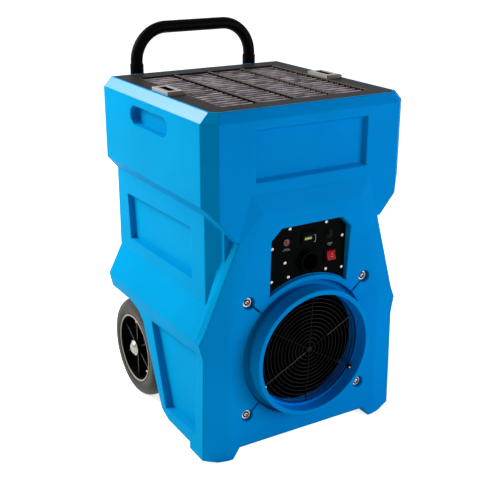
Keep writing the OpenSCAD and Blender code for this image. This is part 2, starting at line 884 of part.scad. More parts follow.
// Children stand on a wheel's centre with their axis along X
module at_wheel() {
    translate([wheel_x, axle_y, axle_z]) rotate([0, 90, 0]) children();
}

module tyre() {
    c = tyre_round;
    at_wheel() rotate_extrude($fn = 128) difference() {
        union() {
            translate([rim_r, -tyre_w / 2]) square([tyre_r - c - rim_r, tyre_w]);
            translate([rim_r, -tyre_w / 2 + c]) square([tyre_r - rim_r, tyre_w - 2 * c]);
            for (s = [-1, 1]) {
                translate([tyre_r - c, s * (tyre_w / 2 - c)]) circle(r = c, $fn = 48);
            }
        }
        translate([0, -tyre_w]) square([rim_r, 2 * tyre_w]);
    }
}

module rim() {
    at_wheel() difference() {
        union() {
            cylinder(h = hub_len, r = hub_r, center = true, $fn = 64);
            difference() {
                cylinder(h = tyre_w - 6, r = rim_r, center = true, $fn = 128);
                cylinder(h = tyre_w, r = rim_r - 4, center = true, $fn = 128);
            }
            translate([0, 0, -3]) cylinder(h = 5, r = rim_r - 1, $fn = 128);
            for (a = [0:60:300]) rotate(a) translate([hub_r - 4, -2, 0])
                cube([rim_r - hub_r + 1, 4, 18]);
        }
        cylinder(h = 2 * hub_len, r = bush_r, center = true, $fn = 48);
    }
}

module bush() {
    at_wheel() difference() {
        cylinder(h = hub_len, r = bush_r, center = true, $fn = 48);
        cylinder(h = 2 * hub_len, r = axle_r + run_gap, center = true, $fn = 48);
    }
}

cap_h = 10;
cap_sphere = (hub_r * hub_r + cap_h * cap_h) / (2 * cap_h);

module hub_cap() {
    at_wheel() translate([0, 0, hub_len / 2]) difference() {
        intersection() {
            translate([0, 0, cap_h - cap_sphere]) sphere(r = cap_sphere, $fn = 96);
            cylinder(h = 2 * cap_h, r = hub_r, $fn = 64);
        }
        translate([0, 0, cap_h - cap_sphere]) sphere(r = cap_sphere - 1.5, $fn = 96);
    }
}

module tyre_left() { color([0.35, 0.35, 0.36]) mirror([1, 0, 0]) tyre(); }
module tyre_right() { color([0.35, 0.35, 0.36]) tyre(); }
module rim_left() { color(BLACK) mirror([1, 0, 0]) rim(); }
module rim_right() { color(BLACK) rim(); }
module bush_left() { color([0.7, 0.55, 0.3]) mirror([1, 0, 0]) bush(); }
module bush_right() { color([0.7, 0.55, 0.3]) bush(); }
module hub_cap_left() { color(STEEL) mirror([1, 0, 0]) hub_cap(); }
module hub_cap_right() { color(STEEL) hub_cap(); }

// ---- Inside ----

module divider_plate() {
    color(STEEL) difference() {
        union() {
            block(-tray_hw, tray_hw, tray_y[0], tray_y[1], divider_z, tray_z);
            both() for (y = [tray_y[0], tray_y[1] - 20]) {
                block(tray_hw - 4, tray_hw - 2, y, y + 20, pan_top, divider_z + eps);
            }
        }
        for (x = [-pipe_x, pipe_x]) rod_z(divider_z - 1, tray_z + 1, 10, x, pipe_y, 48);
    }
}

module drain_pan() {
    color(BLACK) difference() {
        block(-tray_hw, tray_hw, drip_y[0], drip_y[1], tray_z, tray_z + drip_h);
        block(-tray_hw + drip_t, tray_hw - drip_t, drip_y[0] + drip_t, drip_y[1] - drip_t,
            coil_z, tray_z + drip_h + 1);
    }
}

module coil(y0, y1) {
    for (x = [-coil_hw:22:coil_hw]) block(x, x + fin_t, y0, y1, coil_z, coil_top);
    for (z = [coil_z + 25:45:coil_top - 10]) {
        rod_x(-coil_hw, coil_hw, 5, (y0 + y1) / 2, z, 32);
    }
}

module evaporator_coil() { color([0.75, 0.77, 0.8]) coil(evaporator_y[0], evaporator_y[1]); }
module condenser_coil() { color([0.75, 0.77, 0.8]) coil(condenser_y[0], condenser_y[1]); }

module compressor() {
    plate = comp_plate_hw;
    color(BLACK) {
        rod_z(comp_z + comp_plate_t, comp_z + comp_shell_h, comp_r, 0, comp_y, 96);
        intersection() {
            rod_z(comp_z + comp_shell_h - 15, comp_dome_z + comp_dome_r + 1, comp_r, 0, comp_y, 96);
            translate([0, comp_y, comp_dome_z]) sphere(r = comp_dome_r, $fn = 96);
        }
        block(-plate, plate, comp_y - plate, comp_y + plate, comp_z, comp_z + comp_plate_t);
    }
}

module compressor_feet() {
    color([0.2, 0.2, 0.2]) for (sx = [-1, 1], sy = [-1, 1]) {
        rod_z(pan_top, comp_z, 11, sx * comp_foot_x, comp_y + sy * comp_foot_x, 32);
    }
}

// Pipe through a list of points, round at the bends
module pipe(p, r) {
    for (i = [0:len(p) - 2]) {
        v = p[i + 1] - p[i];
        translate(p[i]) rotate([0, acos(v[2] / norm(v)), atan2(v[1], v[0])])
            cylinder(h = norm(v), r = r, $fn = 32);
        if (i > 0) translate(p[i]) sphere(r = r, $fn = 32);
    }
}

module suction_pipe() {
    z = coil_top - 90;
    y = (evaporator_y[0] + evaporator_y[1]) / 2;
    color([0.72, 0.45, 0.3]) pipe([[-pipe_x, comp_y, comp_top], [-pipe_x, comp_y, pipe_z],
        [-pipe_x, pipe_y, pipe_z], [-pipe_x, pipe_y, z], [-pipe_side, pipe_y, z],
        [-pipe_side, y, z], [-coil_hw, y, z]], 6);
}

module discharge_pipe() {
    z = coil_top - 150;
    y = (condenser_y[0] + condenser_y[1]) / 2;
    color([0.72, 0.45, 0.3]) pipe([[pipe_x, comp_y, comp_top], [pipe_x, comp_y, pipe_z],
        [pipe_x, pipe_y, pipe_z], [pipe_x, pipe_y, z], [pipe_side, pipe_y, z],
        [pipe_side, y, z], [coil_hw + fin_t, y, z]], 5);
}

module fan_shroud() {
    color(BLACK) {
        shroud_ring();
        shroud_spider();
    }
}

module shroud_ring() {
    difference() {
        union() {
            rod_y(back_y, motor_front, shroud_r + 4, 0, outlet_z, 128);
            rod_y(back_y, back_y + shroud_lip_t, pocket_r, 0, outlet_z, 128);
        }
        rod_y(back_y - 1, motor_front, shroud_lip_r, 0, outlet_z, 128);
        rod_y(back_y + shroud_lip_t, motor_front + 1, shroud_r, 0, outlet_z, 128);
    }
}

module shroud_spider() {
    difference() {
        union() {
            rod_y(motor_front - 4, motor_front, motor_r, 0, outlet_z, 64);
            for (a = [45:90:315]) translate([0, 0, outlet_z]) rotate([0, a, 0])
                block(24, shroud_r + 2, motor_front - 3.5, motor_front - 0.5, -6, 6);
        }
        rod_y(-300, -100, 20, 0, outlet_z, 48);
    }
}

module fan_motor() {
    color(STEEL) difference() {
        union() {
            rod_y(motor_front, motor_back, motor_r, 0, outlet_z, 64);
            rod_y(motor_front - 4, motor_front + 1, 19, 0, outlet_z, 48);
        }
        rod_y(motor_front - 5, motor_front + 30, shaft_r + run_gap, 0, outlet_z, 48);
    }
}

module fan_impeller() {
    color(BLACK) {
        rod_y(fan_front, fan_back, 30, 0, outlet_z, 64);
        rod_y(fan_back - 1, motor_front + 26, shaft_r, 0, outlet_z, 48);
        intersection() {
            rod_y(fan_front, fan_back, fan_r, 0, outlet_z, 128);
            for (a = [0:60:300]) translate([0, (fan_front + fan_back) / 2, outlet_z])
                rotate([0, a, 0]) rotate([38, 0, 0])
                    translate([25, -1.25, -24]) cube([130, 2.5, 48]);
        }
    }
}

module condensate_pump() {
    color(BLACK) {
        block(30, 120, 165, 225, pan_top, pan_top + 50);
        block(45, 105, 175, 215, pan_top + 50, pan_top + 80);
    }
}

module drain_fitting() {
    color([0.7, 0.55, 0.3]) difference() {
        union() {
            rod_y(body_back - 15, body_back + 2, 8, drain[0], drain[1], 48);
            rod_y(body_back, body_back + 4, 13, drain[0], drain[1], 6);
            rod_y(body_back, body_back + 30, 6, drain[0], drain[1], 48);
        }
        rod_y(200, 300, 4, drain[0], drain[1], 32);
    }
}

module control_box() {
    color(BLACK) difference() {
        block(-box_in_hw, box_in_hw, seat_y, box_in_back, box_in_z[0], box_in_z[1]);
        difference() {
            block(-box_in_hw + box_in_t, box_in_hw - box_in_t, seat_y - 1, box_in_back - box_in_t,
                box_in_z[0] + box_in_t, box_in_z[1] - box_in_t);
            rod_y(seat_y, box_in_back, 5, -59.5, 452, 32);
        }
        rod_y(-300, seat_y + 12, 1.7, -59.5, 452, 24);
    }
}

module run_capacitor() {
    color(STEEL) {
        rod_z(pan_top, pan_top + 70, 20, -125, 60, 48);
        for (x = [-131, -119]) block(x - 1, x + 1, 57, 63, pan_top + 70, pan_top + 78);
    }
}

housing();
base_pan();
base_screws();
rear_cover();
rear_cover_screws();
outlet_collar();
collar_screws();
collar_washers();
wire_guard();
guard_screws();
control_panel();
panel_screws();
pilot_lamp_bezel();
pilot_lamp_lens();
hour_meter_case();
hour_meter_window();
breaker_body();
breaker_button();
switch_bezel();
switch_rocker();
power_inlet();
filter_frame();
filter_slats();
filter_medium();
latch_plate_left();
latch_plate_right();
latch_hinges();
latch_strikes();
handle();
handle_sockets();
handle_bolts();
axle();
tyre_left();
tyre_right();
rim_left();
rim_right();
bush_left();
bush_right();
hub_cap_left();
hub_cap_right();
divider_plate();
drain_pan();
evaporator_coil();
condenser_coil();
compressor();
compressor_feet();
suction_pipe();
discharge_pipe();
fan_shroud();
fan_motor();
fan_impeller();
condensate_pump();
drain_fitting();
control_box();
run_capacitor();
foot_pads();
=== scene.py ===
# %% [markdown]
# # A wheeled dehumidifier, dressed for the studio
#
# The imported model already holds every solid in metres: the moulded cabinet, the duct collar, the
# filter, the wheels, the handle and what is inside. This lesson adds the looks. It starts with the
# camera, goes on to the finishes, and then makes the pieces that a plain solid can't show well,
# such as the tyres, the wire guard and the rows of slats.

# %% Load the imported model
import json
import math

import bmesh
import bpy
from mathutils import Matrix, Vector
from mathutils.bvhtree import BVHTree


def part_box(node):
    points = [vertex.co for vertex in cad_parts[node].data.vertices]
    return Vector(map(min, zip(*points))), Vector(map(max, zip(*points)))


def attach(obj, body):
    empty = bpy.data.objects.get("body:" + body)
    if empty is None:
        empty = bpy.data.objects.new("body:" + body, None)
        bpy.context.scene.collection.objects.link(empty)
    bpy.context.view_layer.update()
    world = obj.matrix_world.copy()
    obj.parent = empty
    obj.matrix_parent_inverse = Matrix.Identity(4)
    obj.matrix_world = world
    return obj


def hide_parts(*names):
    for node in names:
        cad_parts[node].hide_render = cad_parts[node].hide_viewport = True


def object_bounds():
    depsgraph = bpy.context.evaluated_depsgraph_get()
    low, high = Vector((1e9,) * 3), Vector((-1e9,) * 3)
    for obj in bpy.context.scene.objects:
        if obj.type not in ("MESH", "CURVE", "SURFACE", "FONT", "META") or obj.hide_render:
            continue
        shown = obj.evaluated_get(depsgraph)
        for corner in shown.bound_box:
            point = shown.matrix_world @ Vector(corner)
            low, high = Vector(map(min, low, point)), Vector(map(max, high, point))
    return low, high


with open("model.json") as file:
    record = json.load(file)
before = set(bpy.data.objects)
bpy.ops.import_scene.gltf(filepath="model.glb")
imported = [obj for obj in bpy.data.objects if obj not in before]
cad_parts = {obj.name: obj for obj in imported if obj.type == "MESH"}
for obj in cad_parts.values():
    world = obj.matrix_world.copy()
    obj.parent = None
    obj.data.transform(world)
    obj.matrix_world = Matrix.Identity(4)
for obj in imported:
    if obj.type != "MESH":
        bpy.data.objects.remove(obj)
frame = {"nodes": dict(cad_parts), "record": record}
CAD_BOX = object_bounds()
NODES = frame["nodes"]
LOW, HIGH = Vector(CAD_BOX[0]), Vector(CAD_BOX[1])
MM = 0.001
print("nodes:", len(NODES), "size in mm:", [round(v / MM) for v in HIGH - LOW])

# %% [markdown]
# ## Points read in the photograph
#
# These are the only pixel positions in the lesson, on a frame of 480 by 480. The camera was solved
# so that the cabinet's own corners fall on them, and the last cell measures how far each thing
# shows from its point.

# %% Image points
FRAME_PX = 480
POINTS = {
    "left_edge": (103.8, None),
    "right_edge": (402.8, None),
    "top_edge": (None, 16.5),
    "bottom_edge": (None, 462.0),
    "screw_upper_left": (247.4, 302.8),
    "screw_upper_right": (362.2, 276.9),
    "screw_lower_left": (246.2, 416.4),
    "screw_lower_right": (357.3, 381.8),
    "pilot_lamp": (286.9, 242.9),
    "rocker": (331.4, 256.2),
    "hub_cap_left": (131.3, 349.0),
    "guard_screw": (349.3, 368.6),
    "rocker_mark_upper": (332.1, 253.8),
    "rocker_mark_lower": (332.1, 256.6),
    "meter_bracket": (314.9, 238.1),
    "lamp_label": (286.4, 249.8),
    "switch_label": (329.9, 243.8),
}
print("points:", len(POINTS))

# %% [markdown]
# ## The camera
#
# The photographer stood in front of the machine and to its left, a little above it. A camera is
# placed by an azimuth and an elevation round a target, then aimed, and only its lens sets the size
# of the object in the frame. Nothing is shifted, so other views keep the same framing.

# %% Aim the camera
CAMERA_AZIMUTH = math.radians(-30.5)
CAMERA_ELEVATION = math.radians(19.82)
CAMERA_DISTANCE = 2.22562
TARGET_HEIGHT = 0.41778
TARGET_SIDE = -0.02338
SENSOR_WIDTH = 36.0
FOCAL_PX = 911.26
LENS = FOCAL_PX / FRAME_PX * SENSOR_WIDTH

camera_right = Vector((math.cos(CAMERA_AZIMUTH), math.sin(CAMERA_AZIMUTH), 0))
camera_back = Vector((
    math.sin(CAMERA_AZIMUTH) * math.cos(CAMERA_ELEVATION),
    -math.cos(CAMERA_AZIMUTH) * math.cos(CAMERA_ELEVATION),
    math.sin(CAMERA_ELEVATION)))
camera_up = camera_back.cross(camera_right)
target = Vector((0, 0, TARGET_HEIGHT)) + camera_right * TARGET_SIDE
camera_at = target + camera_back * CAMERA_DISTANCE


def linked(name, data):
    """A new object in the scene that shows some data."""
    obj = bpy.data.objects.new(name, data)
    bpy.context.scene.collection.objects.link(obj)
    return obj


camera_data = bpy.data.cameras.new("studio_camera")
camera_data.sensor_fit = "AUTO"
camera_data.sensor_width = SENSOR_WIDTH
camera_data.lens = LENS
camera = linked("studio_camera", camera_data)
axes = Matrix((camera_right, camera_up, camera_back)).transposed().to_4x4()
camera.matrix_world = Matrix.Translation(camera_at) @ axes
bpy.context.scene.camera = camera
print("camera at", [round(v, 4) for v in camera_at], "lens", round(LENS, 2))


# %% [markdown]
# A pixel becomes a place on the object by sending a ray through it. Going the other way, a place
# becomes a pixel by writing it in the camera's own axes.

# %% Rays from pixels, and pixels from places
def pixel_ray(x, y):
    """The direction from the camera through a pixel."""
    across, upward = x - FRAME_PX / 2, FRAME_PX / 2 - y
    depth = -FRAME_PX * camera_data.lens / camera_data.sensor_width
    return (camera_right * across + camera_up * upward + camera_back * depth).normalized()


def pixel_of(place):
    """The pixel that shows a place."""
    v = Vector(place) - camera_at
    scale = camera_data.lens / camera_data.sensor_width * FRAME_PX / -v.dot(camera_back)
    return (FRAME_PX / 2 + v.dot(camera_right) * scale, FRAME_PX / 2 - v.dot(camera_up) * scale)


def surface_tree(*objects):
    """A search tree of the objects' finished faces."""
    depsgraph = bpy.context.evaluated_depsgraph_get()
    vertices, faces = [], []
    for obj in objects:
        mesh = obj.evaluated_get(depsgraph).to_mesh()
        start = len(vertices)
        vertices += [obj.matrix_world @ v.co for v in mesh.vertices]
        faces += [[start + i for i in p.vertices] for p in mesh.polygons]
    return BVHTree.FromPolygons(vertices, faces)


def place_on(tree, point):
    """The place and the normal where a named image point meets a surface."""
    direction = pixel_ray(*POINTS[point])
    hit, normal, _, _ = tree.ray_cast(camera_at, direction)
    if hit is None:
        hit, normal, _, _ = tree.find_nearest(camera_at + direction * CAMERA_DISTANCE)
    return hit, normal


# %% [markdown]
# ## Writing finishes as sums
#
# Node trees soon become hard to read as lists of links. Here each output is wrapped in a small
# class that knows how to add, multiply and compare, so that a mask can be written as a sum.

# %% A wrapped socket and a finish under construction
class Wire:
    """One output of a shader node, with arithmetic."""

    def __init__(self, finish, socket):
        self.finish, self.socket = finish, socket

    def _math(self, operation, first, second=0.0):
        return self.finish.node("Math", {"operation": operation}, first, second)

    def __add__(self, other):
        return self._math("ADD", self, other)

    def __sub__(self, other):
        return self._math("SUBTRACT", self, other)

    def __rsub__(self, other):
        return self._math("SUBTRACT", other, self)

    def __mul__(self, other):
        return self._math("MULTIPLY", self, other)

    def __gt__(self, other):
        return self._math("GREATER_THAN", self, other)

    def __lt__(self, other):
        return self._math("LESS_THAN", self, other)

    __radd__, __rmul__ = __add__, __mul__


class Finish:
    """A material being written: its nodes, its shader and its object coordinates."""

    def __init__(self, name, color, roughness, **constants):
        self.material = bpy.data.materials.new(name)
        self.material.use_nodes = True
        self.tree = self.material.node_tree
        self.shader = self.tree.nodes["Principled BSDF"]
        self.material.diffuse_color = (*color, 1)
        self.set("Base Color", (*color, 1))
        self.set("Roughness", roughness)
        for socket, value in constants.items():
            self.set(socket.replace("_", " "), value)

    def set(self, socket, value):
        """Sets one of the shader's own sockets, to a value or to a wire."""
        self.fill(self.shader.inputs[socket], value)

    def fill(self, socket, value):
        """Links a wire to any socket, or gives the socket a value."""
        if isinstance(value, Wire):
            self.tree.links.new(value.socket, socket)
        else:
            socket.default_value = value

    def node(self, kind, settings, *values, out=0, **named):
        """A node of any type: its settings first, then its sockets by order or by name."""
        made = self.tree.nodes.new("ShaderNode" + kind)
        for key, value in settings.items():
            setattr(made, key, value)
        for index, value in enumerate(values):
            self.fill(made.inputs[index], value)
        for key, value in named.items():
            self.fill(made.inputs[key.replace("_", " ")], value)
        return Wire(self, made.outputs[out])

    def position(self):
        """The three object coordinates, each as a wire."""
        where = self.node("TexCoord", {}, out="Object")
        return [self.node("SeparateXYZ", {}, where, out=axis) for axis in "XYZ"]

    def inside(self, room):
        """1 inside a box of object coordinates, given as low and high for each axis."""
        mask = 1.0
        for wire, (low, high) in zip(self.position(), room):
            mask = (wire > low) * (wire < high) * mask
        return mask

    def noise(self, scale, detail=3.0, stretch=(1, 1, 1), rough=0.5):
        """Noise on object coordinates, which can be stretched."""
        where = self.node("TexCoord", {}, out="Object")
        where = self.node("Mapping", {}, Vector=where, Scale=stretch)
        return self.node("TexNoise", {}, Vector=where, Scale=scale, Detail=detail, Roughness=rough)

    def beyond(self, centre, radius):
        """1 outside a circle round an axis that runs front to back."""
        x, _, z = self.position()
        across, up = x - centre.x, z - centre.z
        return across * across + up * up > radius ** 2

    def drift(self, wire, average, span):
        """A number that follows a wire over a span round its average."""
        return wire * span + (average - span / 2)

    def blend(self, factor, first, second):
        """Colours mixed by a factor."""
        made = self.tree.nodes.new("ShaderNodeMix")
        made.data_type = "RGBA"
        self.fill(made.inputs[0], factor)
        self.fill(made.inputs[6], first)
        self.fill(made.inputs[7], second)
        return Wire(self, made.outputs[2])

    def bump(self, height, depth, strength=1.0, normal=None):
        """A height in metres feeds the shader's normal."""
        made = self.tree.nodes.new("ShaderNodeBump")
        made.inputs["Strength"].default_value = strength
        made.inputs["Distance"].default_value = depth
        self.fill(made.inputs["Height"], height)
        if normal is not None:
            self.fill(made.inputs["Normal"], normal)
        self.set("Normal", Wire(self, made.outputs[0]))


def linear(r, g, b, a=1.0):
    """A colour that was read on a screen, from 0 to 255, as the linear light that nodes use."""
    def one(v):
        v /= 255
        return v / 12.92 if v <= 0.04045 else ((v + 0.055) / 1.055) ** 2.4
    return (one(r), one(g), one(b), a)


def middle(node):
    """The centre of a node's box."""
    low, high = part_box(node)
    return (Vector(low) + Vector(high)) / 2


print("wrapped sockets ready; mid blue is", [round(v, 3) for v in linear(0, 140, 214)])


# %% [markdown]
# ## The studio
#
# A catalogue picture has a white floor and a white background. Both are white only for the camera
# and for reflections, through Light Path: a strength of 1 is white, and no lamp has to be turned
# up for it. The floor keeps a part of its real shading, so the object's shadow stays on it.
#
# The photograph's left side is the brightest, its front is a step darker, and the facet between
# them is darker than both. So the key lamp stands high at the left and towards the back, and the
# second lamp stands low in front of the right corner.

# %% Floor, world and lamps
def rays_that_see(tree):
    """1 for camera, glossy and transmission rays, 0 for the light that falls on the object."""
    path = tree.nodes.new("ShaderNodeLightPath")
    total = path.outputs["Is Camera Ray"]
    for ray in ("Is Glossy Ray", "Is Transmission Ray"):
        add = tree.nodes.new("ShaderNodeMath")
        add.operation = "ADD"
        add.use_clamp = True
        tree.links.new(total, add.inputs[0])
        tree.links.new(path.outputs[ray], add.inputs[1])
        total = add.outputs[0]
    return total


def white_floor(glow, far, reach):
    """A matt white sheet that glows for the camera, and rises to full white from far to reach."""
    material = bpy.data.materials.new("white_floor")
    material.use_nodes = True
    tree = material.node_tree
    output, matt = tree.nodes["Material Output"], tree.nodes.new("ShaderNodeBsdfDiffuse")
    tree.nodes.remove(tree.nodes["Principled BSDF"])
    matt.inputs["Color"].default_value = (0.9, 0.9, 0.9, 1)
    where = tree.nodes.new("ShaderNodeTexCoord")
    away = tree.nodes.new("ShaderNodeVectorMath")
    away.operation = "LENGTH"
    tree.links.new(where.outputs["Object"], away.inputs[0])
    rise = tree.nodes.new("ShaderNodeMapRange")
    tree.links.new(away.outputs["Value"], rise.inputs["Value"])
    for socket, value in (("From Min", far), ("From Max", reach), ("To Min", glow), ("To Max", 1)):
        rise.inputs[socket].default_value = value
    strength = tree.nodes.new("ShaderNodeMath")
    strength.operation = "MULTIPLY"
    tree.links.new(rise.outputs[0], strength.inputs[0])
    tree.links.new(rays_that_see(tree), strength.inputs[1])
    shine = tree.nodes.new("ShaderNodeEmission")
    tree.links.new(strength.outputs[0], shine.inputs["Strength"])
    both = tree.nodes.new("ShaderNodeAddShader")
    tree.links.new(matt.outputs[0], both.inputs[0])
    tree.links.new(shine.outputs[0], both.inputs[1])
    tree.links.new(both.outputs[0], output.inputs["Surface"])
    return material


def area_lamp(name, azimuth, elevation, distance, size, power, color):
    """A square soft lamp that looks at the middle of the object."""
    az, el = math.radians(azimuth), math.radians(elevation)
    back = Vector((math.sin(az) * math.cos(el), -math.cos(az) * math.cos(el), math.sin(el)))
    data = bpy.data.lights.new(name, "AREA")
    data.shape = "SQUARE"
    data.size = size
    data.energy = power
    data.color = color
    lamp = linked(name, data)
    lamp.location = Vector((0, 0, TARGET_HEIGHT)) + back * distance
    lamp.rotation_euler = back.to_track_quat("Z", "Y").to_euler()


FLOOR_HALF = 12.0
FLOOR_GLOW, GLOW_FROM, GLOW_FULL = 0.78, 0.5, 1.5
floor_mesh = bpy.data.meshes.new("studio_floor")
corners = [(x * FLOOR_HALF, y * FLOOR_HALF, 0) for x, y in ((-1, -1), (1, -1), (1, 1), (-1, 1))]
floor_mesh.from_pydata(corners, [], [(0, 1, 2, 3)])
floor = linked("studio_floor", floor_mesh)
floor_mesh.materials.append(white_floor(FLOOR_GLOW, GLOW_FROM, GLOW_FULL))

SKY_STRENGTH = 0.2
world = bpy.data.worlds.new("studio_world")
world.use_nodes = True
sky = world.node_tree
lit = sky.nodes["Background"]
lit.inputs["Color"].default_value = (1, 1, 1, 1)
lit.inputs["Strength"].default_value = SKY_STRENGTH
seen = sky.nodes.new("ShaderNodeBackground")
seen.inputs["Color"].default_value = (1, 1, 1, 1)
chooser = sky.nodes.new("ShaderNodeMixShader")
sky.links.new(rays_that_see(sky), chooser.inputs[0])
sky.links.new(lit.outputs[0], chooser.inputs[1])
sky.links.new(seen.outputs[0], chooser.inputs[2])
sky.links.new(chooser.outputs[0], sky.nodes["World Output"].inputs[0])
bpy.context.scene.world = world
bpy.context.scene.view_settings.view_transform = "Standard"

area_lamp("key_left", azimuth=-134, elevation=32, distance=3.2, size=2.0, power=164,
          color=(1.0, 0.99, 0.80))
area_lamp("low_right", azimuth=36, elevation=8, distance=3.4, size=2.0, power=63,
          color=(0.9, 0.91, 1.18))
print("studio ready")

# %% [markdown]
# ## The finishes
#
# The cabinet is rotation-moulded plastic: one deep blue with a faint pebble in its skin, a soft
# sheen, and edges that are never sharp. The rest is satin black sheet, stainless steel, zinc
# plated screws, grey rubber and a little chrome.

# %% Moulded plastic
EDGE_RADIUS = 0.005
PEBBLE_DEPTH = 0.00025
HANDLED_RIM = ((-0.3, -0.2365), (-0.231, 0.3), (0.779, 0.81))
BLUE, MOULDED_ROUGHNESS = linear(0, 141, 209), 0.42
# The duct's deeper blue is painted shade on the bore wall inside the collar.
DUCT_SHADE_BLUE, DUCT_RADIUS = linear(0, 141, 240), 0.1413


def shades(color, down, up):
    """A darker and a lighter neighbour of a colour."""
    return (tuple(c * down for c in color[:3]) + (1,),
            tuple(min(1, c * up) for c in color[:3]) + (1,))


def moulded_finish(name, color, roughness, duct=None):
    """Rotation-moulded plastic: slow cloudy drift, a pebbled skin, soft edges, a polished rim.

    A duct is an axis point, a radius and a deeper blue painted on the wall inside that radius:
    painted shade in the bore."""
    finish = Finish(name, color[:3], roughness, IOR=1.035, Coat_Roughness=0.38)
    darker, lighter = shades(color, 0.93, 1.06)
    cloud = finish.noise(4.0, 5.0, rough=0.6)
    skin = finish.blend((cloud - 0.3) * 2.2, darker, lighter)
    if duct:
        # Painted shade: inside the duct radius the wall takes a deeper blue.
        axis, radius, bore_shade = duct
        skin = finish.blend(finish.beyond(axis, radius), bore_shade, skin)
    finish.set("Base Color", skin)
    finish.set("Roughness", finish.drift(finish.noise(55.0, 4.0), roughness, 0.14))
    finish.set("Coat Weight", finish.inside(HANDLED_RIM))
    rounded = finish.node("Bevel", {"samples": 6}, EDGE_RADIUS)
    finish.bump(finish.noise(900.0, 2.0), PEBBLE_DEPTH, 0.35, rounded)
    return finish.material


collar_centre = middle("outlet_collar")
moulded_blue = moulded_finish("moulded_blue", BLUE, MOULDED_ROUGHNESS)
collar_blue = moulded_finish("collar_blue", BLUE, MOULDED_ROUGHNESS,
                             duct=(collar_centre, DUCT_RADIUS, DUCT_SHADE_BLUE))
print("moulded blue ready")


# %% Black parts, rubber and metals
GRAIN, GRAIN_DEPTH = 700.0, 0.00012
SHEET_EDGE, METAL_EDGE, BRUSHED_DEPTH = 0.0012, 0.0008, 0.00006


def satin_finish(name, color, roughness, grain=GRAIN, depth=GRAIN_DEPTH, gloss=0.2, bend=1.45):
    """Painted sheet or moulded trim with a fine even grain; less bend, less grazing shine."""
    finish = Finish(name, color[:3], roughness, Specular_IOR_Level=gloss, IOR=bend)
    darker, lighter = shades(color, 0.9, 1.25)
    finish.set("Base Color", finish.blend(finish.noise(8.0, 3.0), darker, lighter))
    finish.set("Roughness", finish.drift(finish.noise(40.0, 4.0), roughness, 0.12))
    rounded = finish.node("Bevel", {"samples": 4}, SHEET_EDGE)
    finish.bump(finish.noise(grain, 2.0), depth, 0.4, rounded)
    return finish.material


def brushed_finish(name, color, roughness, stretch, tarnish=0.8):
    """Metal brushed along one way: fine lines in its roughness and its height."""
    finish = Finish(name, color[:3], roughness, Metallic=1.0)
    lines = finish.noise(60.0, 4.0, stretch)
    spots = finish.noise(35.0, 5.0)
    finish.set("Roughness", finish.drift(lines, roughness, 0.18))
    darker, _ = shades(color, tarnish, 1)
    finish.set("Base Color", finish.blend((lines + spots) * 0.5, darker, color))
    rounded = finish.node("Bevel", {"samples": 4}, METAL_EDGE)
    finish.bump(lines, BRUSHED_DEPTH, 0.5, rounded)
    return finish.material


satin_black = satin_finish("satin_black", linear(12, 12, 12), 0.5, gloss=0.05)
panel_black = satin_finish("panel_black", linear(5, 7, 5), 0.45, gloss=0.01)
deep_black = satin_finish("deep_black", linear(5, 5, 5), 0.6, gloss=0.02, bend=1.06)
guard_black = satin_finish("guard_black", linear(7, 7, 7), 0.3, gloss=0.1)
# Painted highlight: the pale colour of two guard spokes stands for the shine along them.
spoke_highlight = satin_finish("spoke_highlight", linear(112, 108, 102), 0.35, gloss=0.3)
handle_black = satin_finish("handle_black", linear(9, 7, 8), 0.36, gloss=0.5, bend=1.07)
rim_black = satin_finish("rim_black", linear(7, 7, 8), 0.34, gloss=0.1)
rubber_black = satin_finish("rubber_black", linear(25, 23, 26), 0.5, gloss=0.5, bend=1.25)
stainless = brushed_finish("stainless_sheet", linear(196, 190, 184), 0.32, (20, 1, 20))
zinc = brushed_finish("zinc_plate", linear(206, 196, 182), 0.32, (6, 6, 6))
chrome = brushed_finish("pressed_cap", linear(168, 164, 160), 0.3, (2, 2, 2), tarnish=0.45)
brass = brushed_finish("brass", linear(172, 150, 108), 0.36, (4, 1, 4))
copper = brushed_finish("copper_tube", linear(196, 120, 84), 0.35, (2, 2, 2))
aluminium = brushed_finish("aluminium_fin", linear(196, 198, 200), 0.36, (4, 4, 1))
fleece = satin_finish("filter_fleece", linear(26, 25, 26), 0.9, grain=300.0, depth=0.001,
                      gloss=0.02)
red_lens = Finish("red_lens", linear(150, 10, 8)[:3], 0.2, Specular_IOR_Level=0.3).material
red_switch = satin_finish("red_switch", linear(160, 5, 10), 0.3, gloss=0.08)
switch_mark = satin_finish("switch_mark", linear(206, 150, 150), 0.5, gloss=0.1)
label_grey = satin_finish("label_grey", linear(120, 120, 118), 0.5, gloss=0.05)
bezel_light = satin_finish("bezel_light", linear(176, 178, 176), 0.4, gloss=0.2)
washer_tan = brushed_finish("washer_tan", linear(224, 208, 184), 0.42, (6, 6, 6), tarnish=0.6)
latch_steel = satin_finish("latch_steel", linear(136, 132, 138), 0.35, gloss=0.9)
stop_brass = satin_finish("stop_brass", linear(100, 92, 68), 0.4, gloss=0.4)
bead_grey = satin_finish("bead_grey", linear(150, 140, 142), 0.4, gloss=0.3)


def slat_finish(name, color):
    """Strips or fleece, paler and darker in patches where dust has settled."""
    finish = Finish(name, color[:3], 0.5, IOR=1.1)
    darker, lighter = shades(color, 0.35, 2.2)
    patches = finish.noise(26.0, 5.0, (1, 2.5, 1), 0.65)
    finish.set("Base Color", finish.blend((patches - 0.35) * 3, darker, lighter))
    return finish.material


slat_grey = slat_finish("slat_grey", linear(150, 140, 150))
medium_grey = slat_finish("medium_grey", linear(62, 57, 62))


def filter_frame_finish(rim, bars, opening):
    """Dark trim whose bars inside the opening are paler, so that black ribs show on them."""
    finish = Finish("filter_frame_black", rim[:3], 0.5, IOR=1.08)
    finish.set("Base Color", finish.blend(finish.inside(opening), rim, bars))
    finish.bump(finish.noise(GRAIN, 2.0), GRAIN_DEPTH, 0.4)
    return finish.material


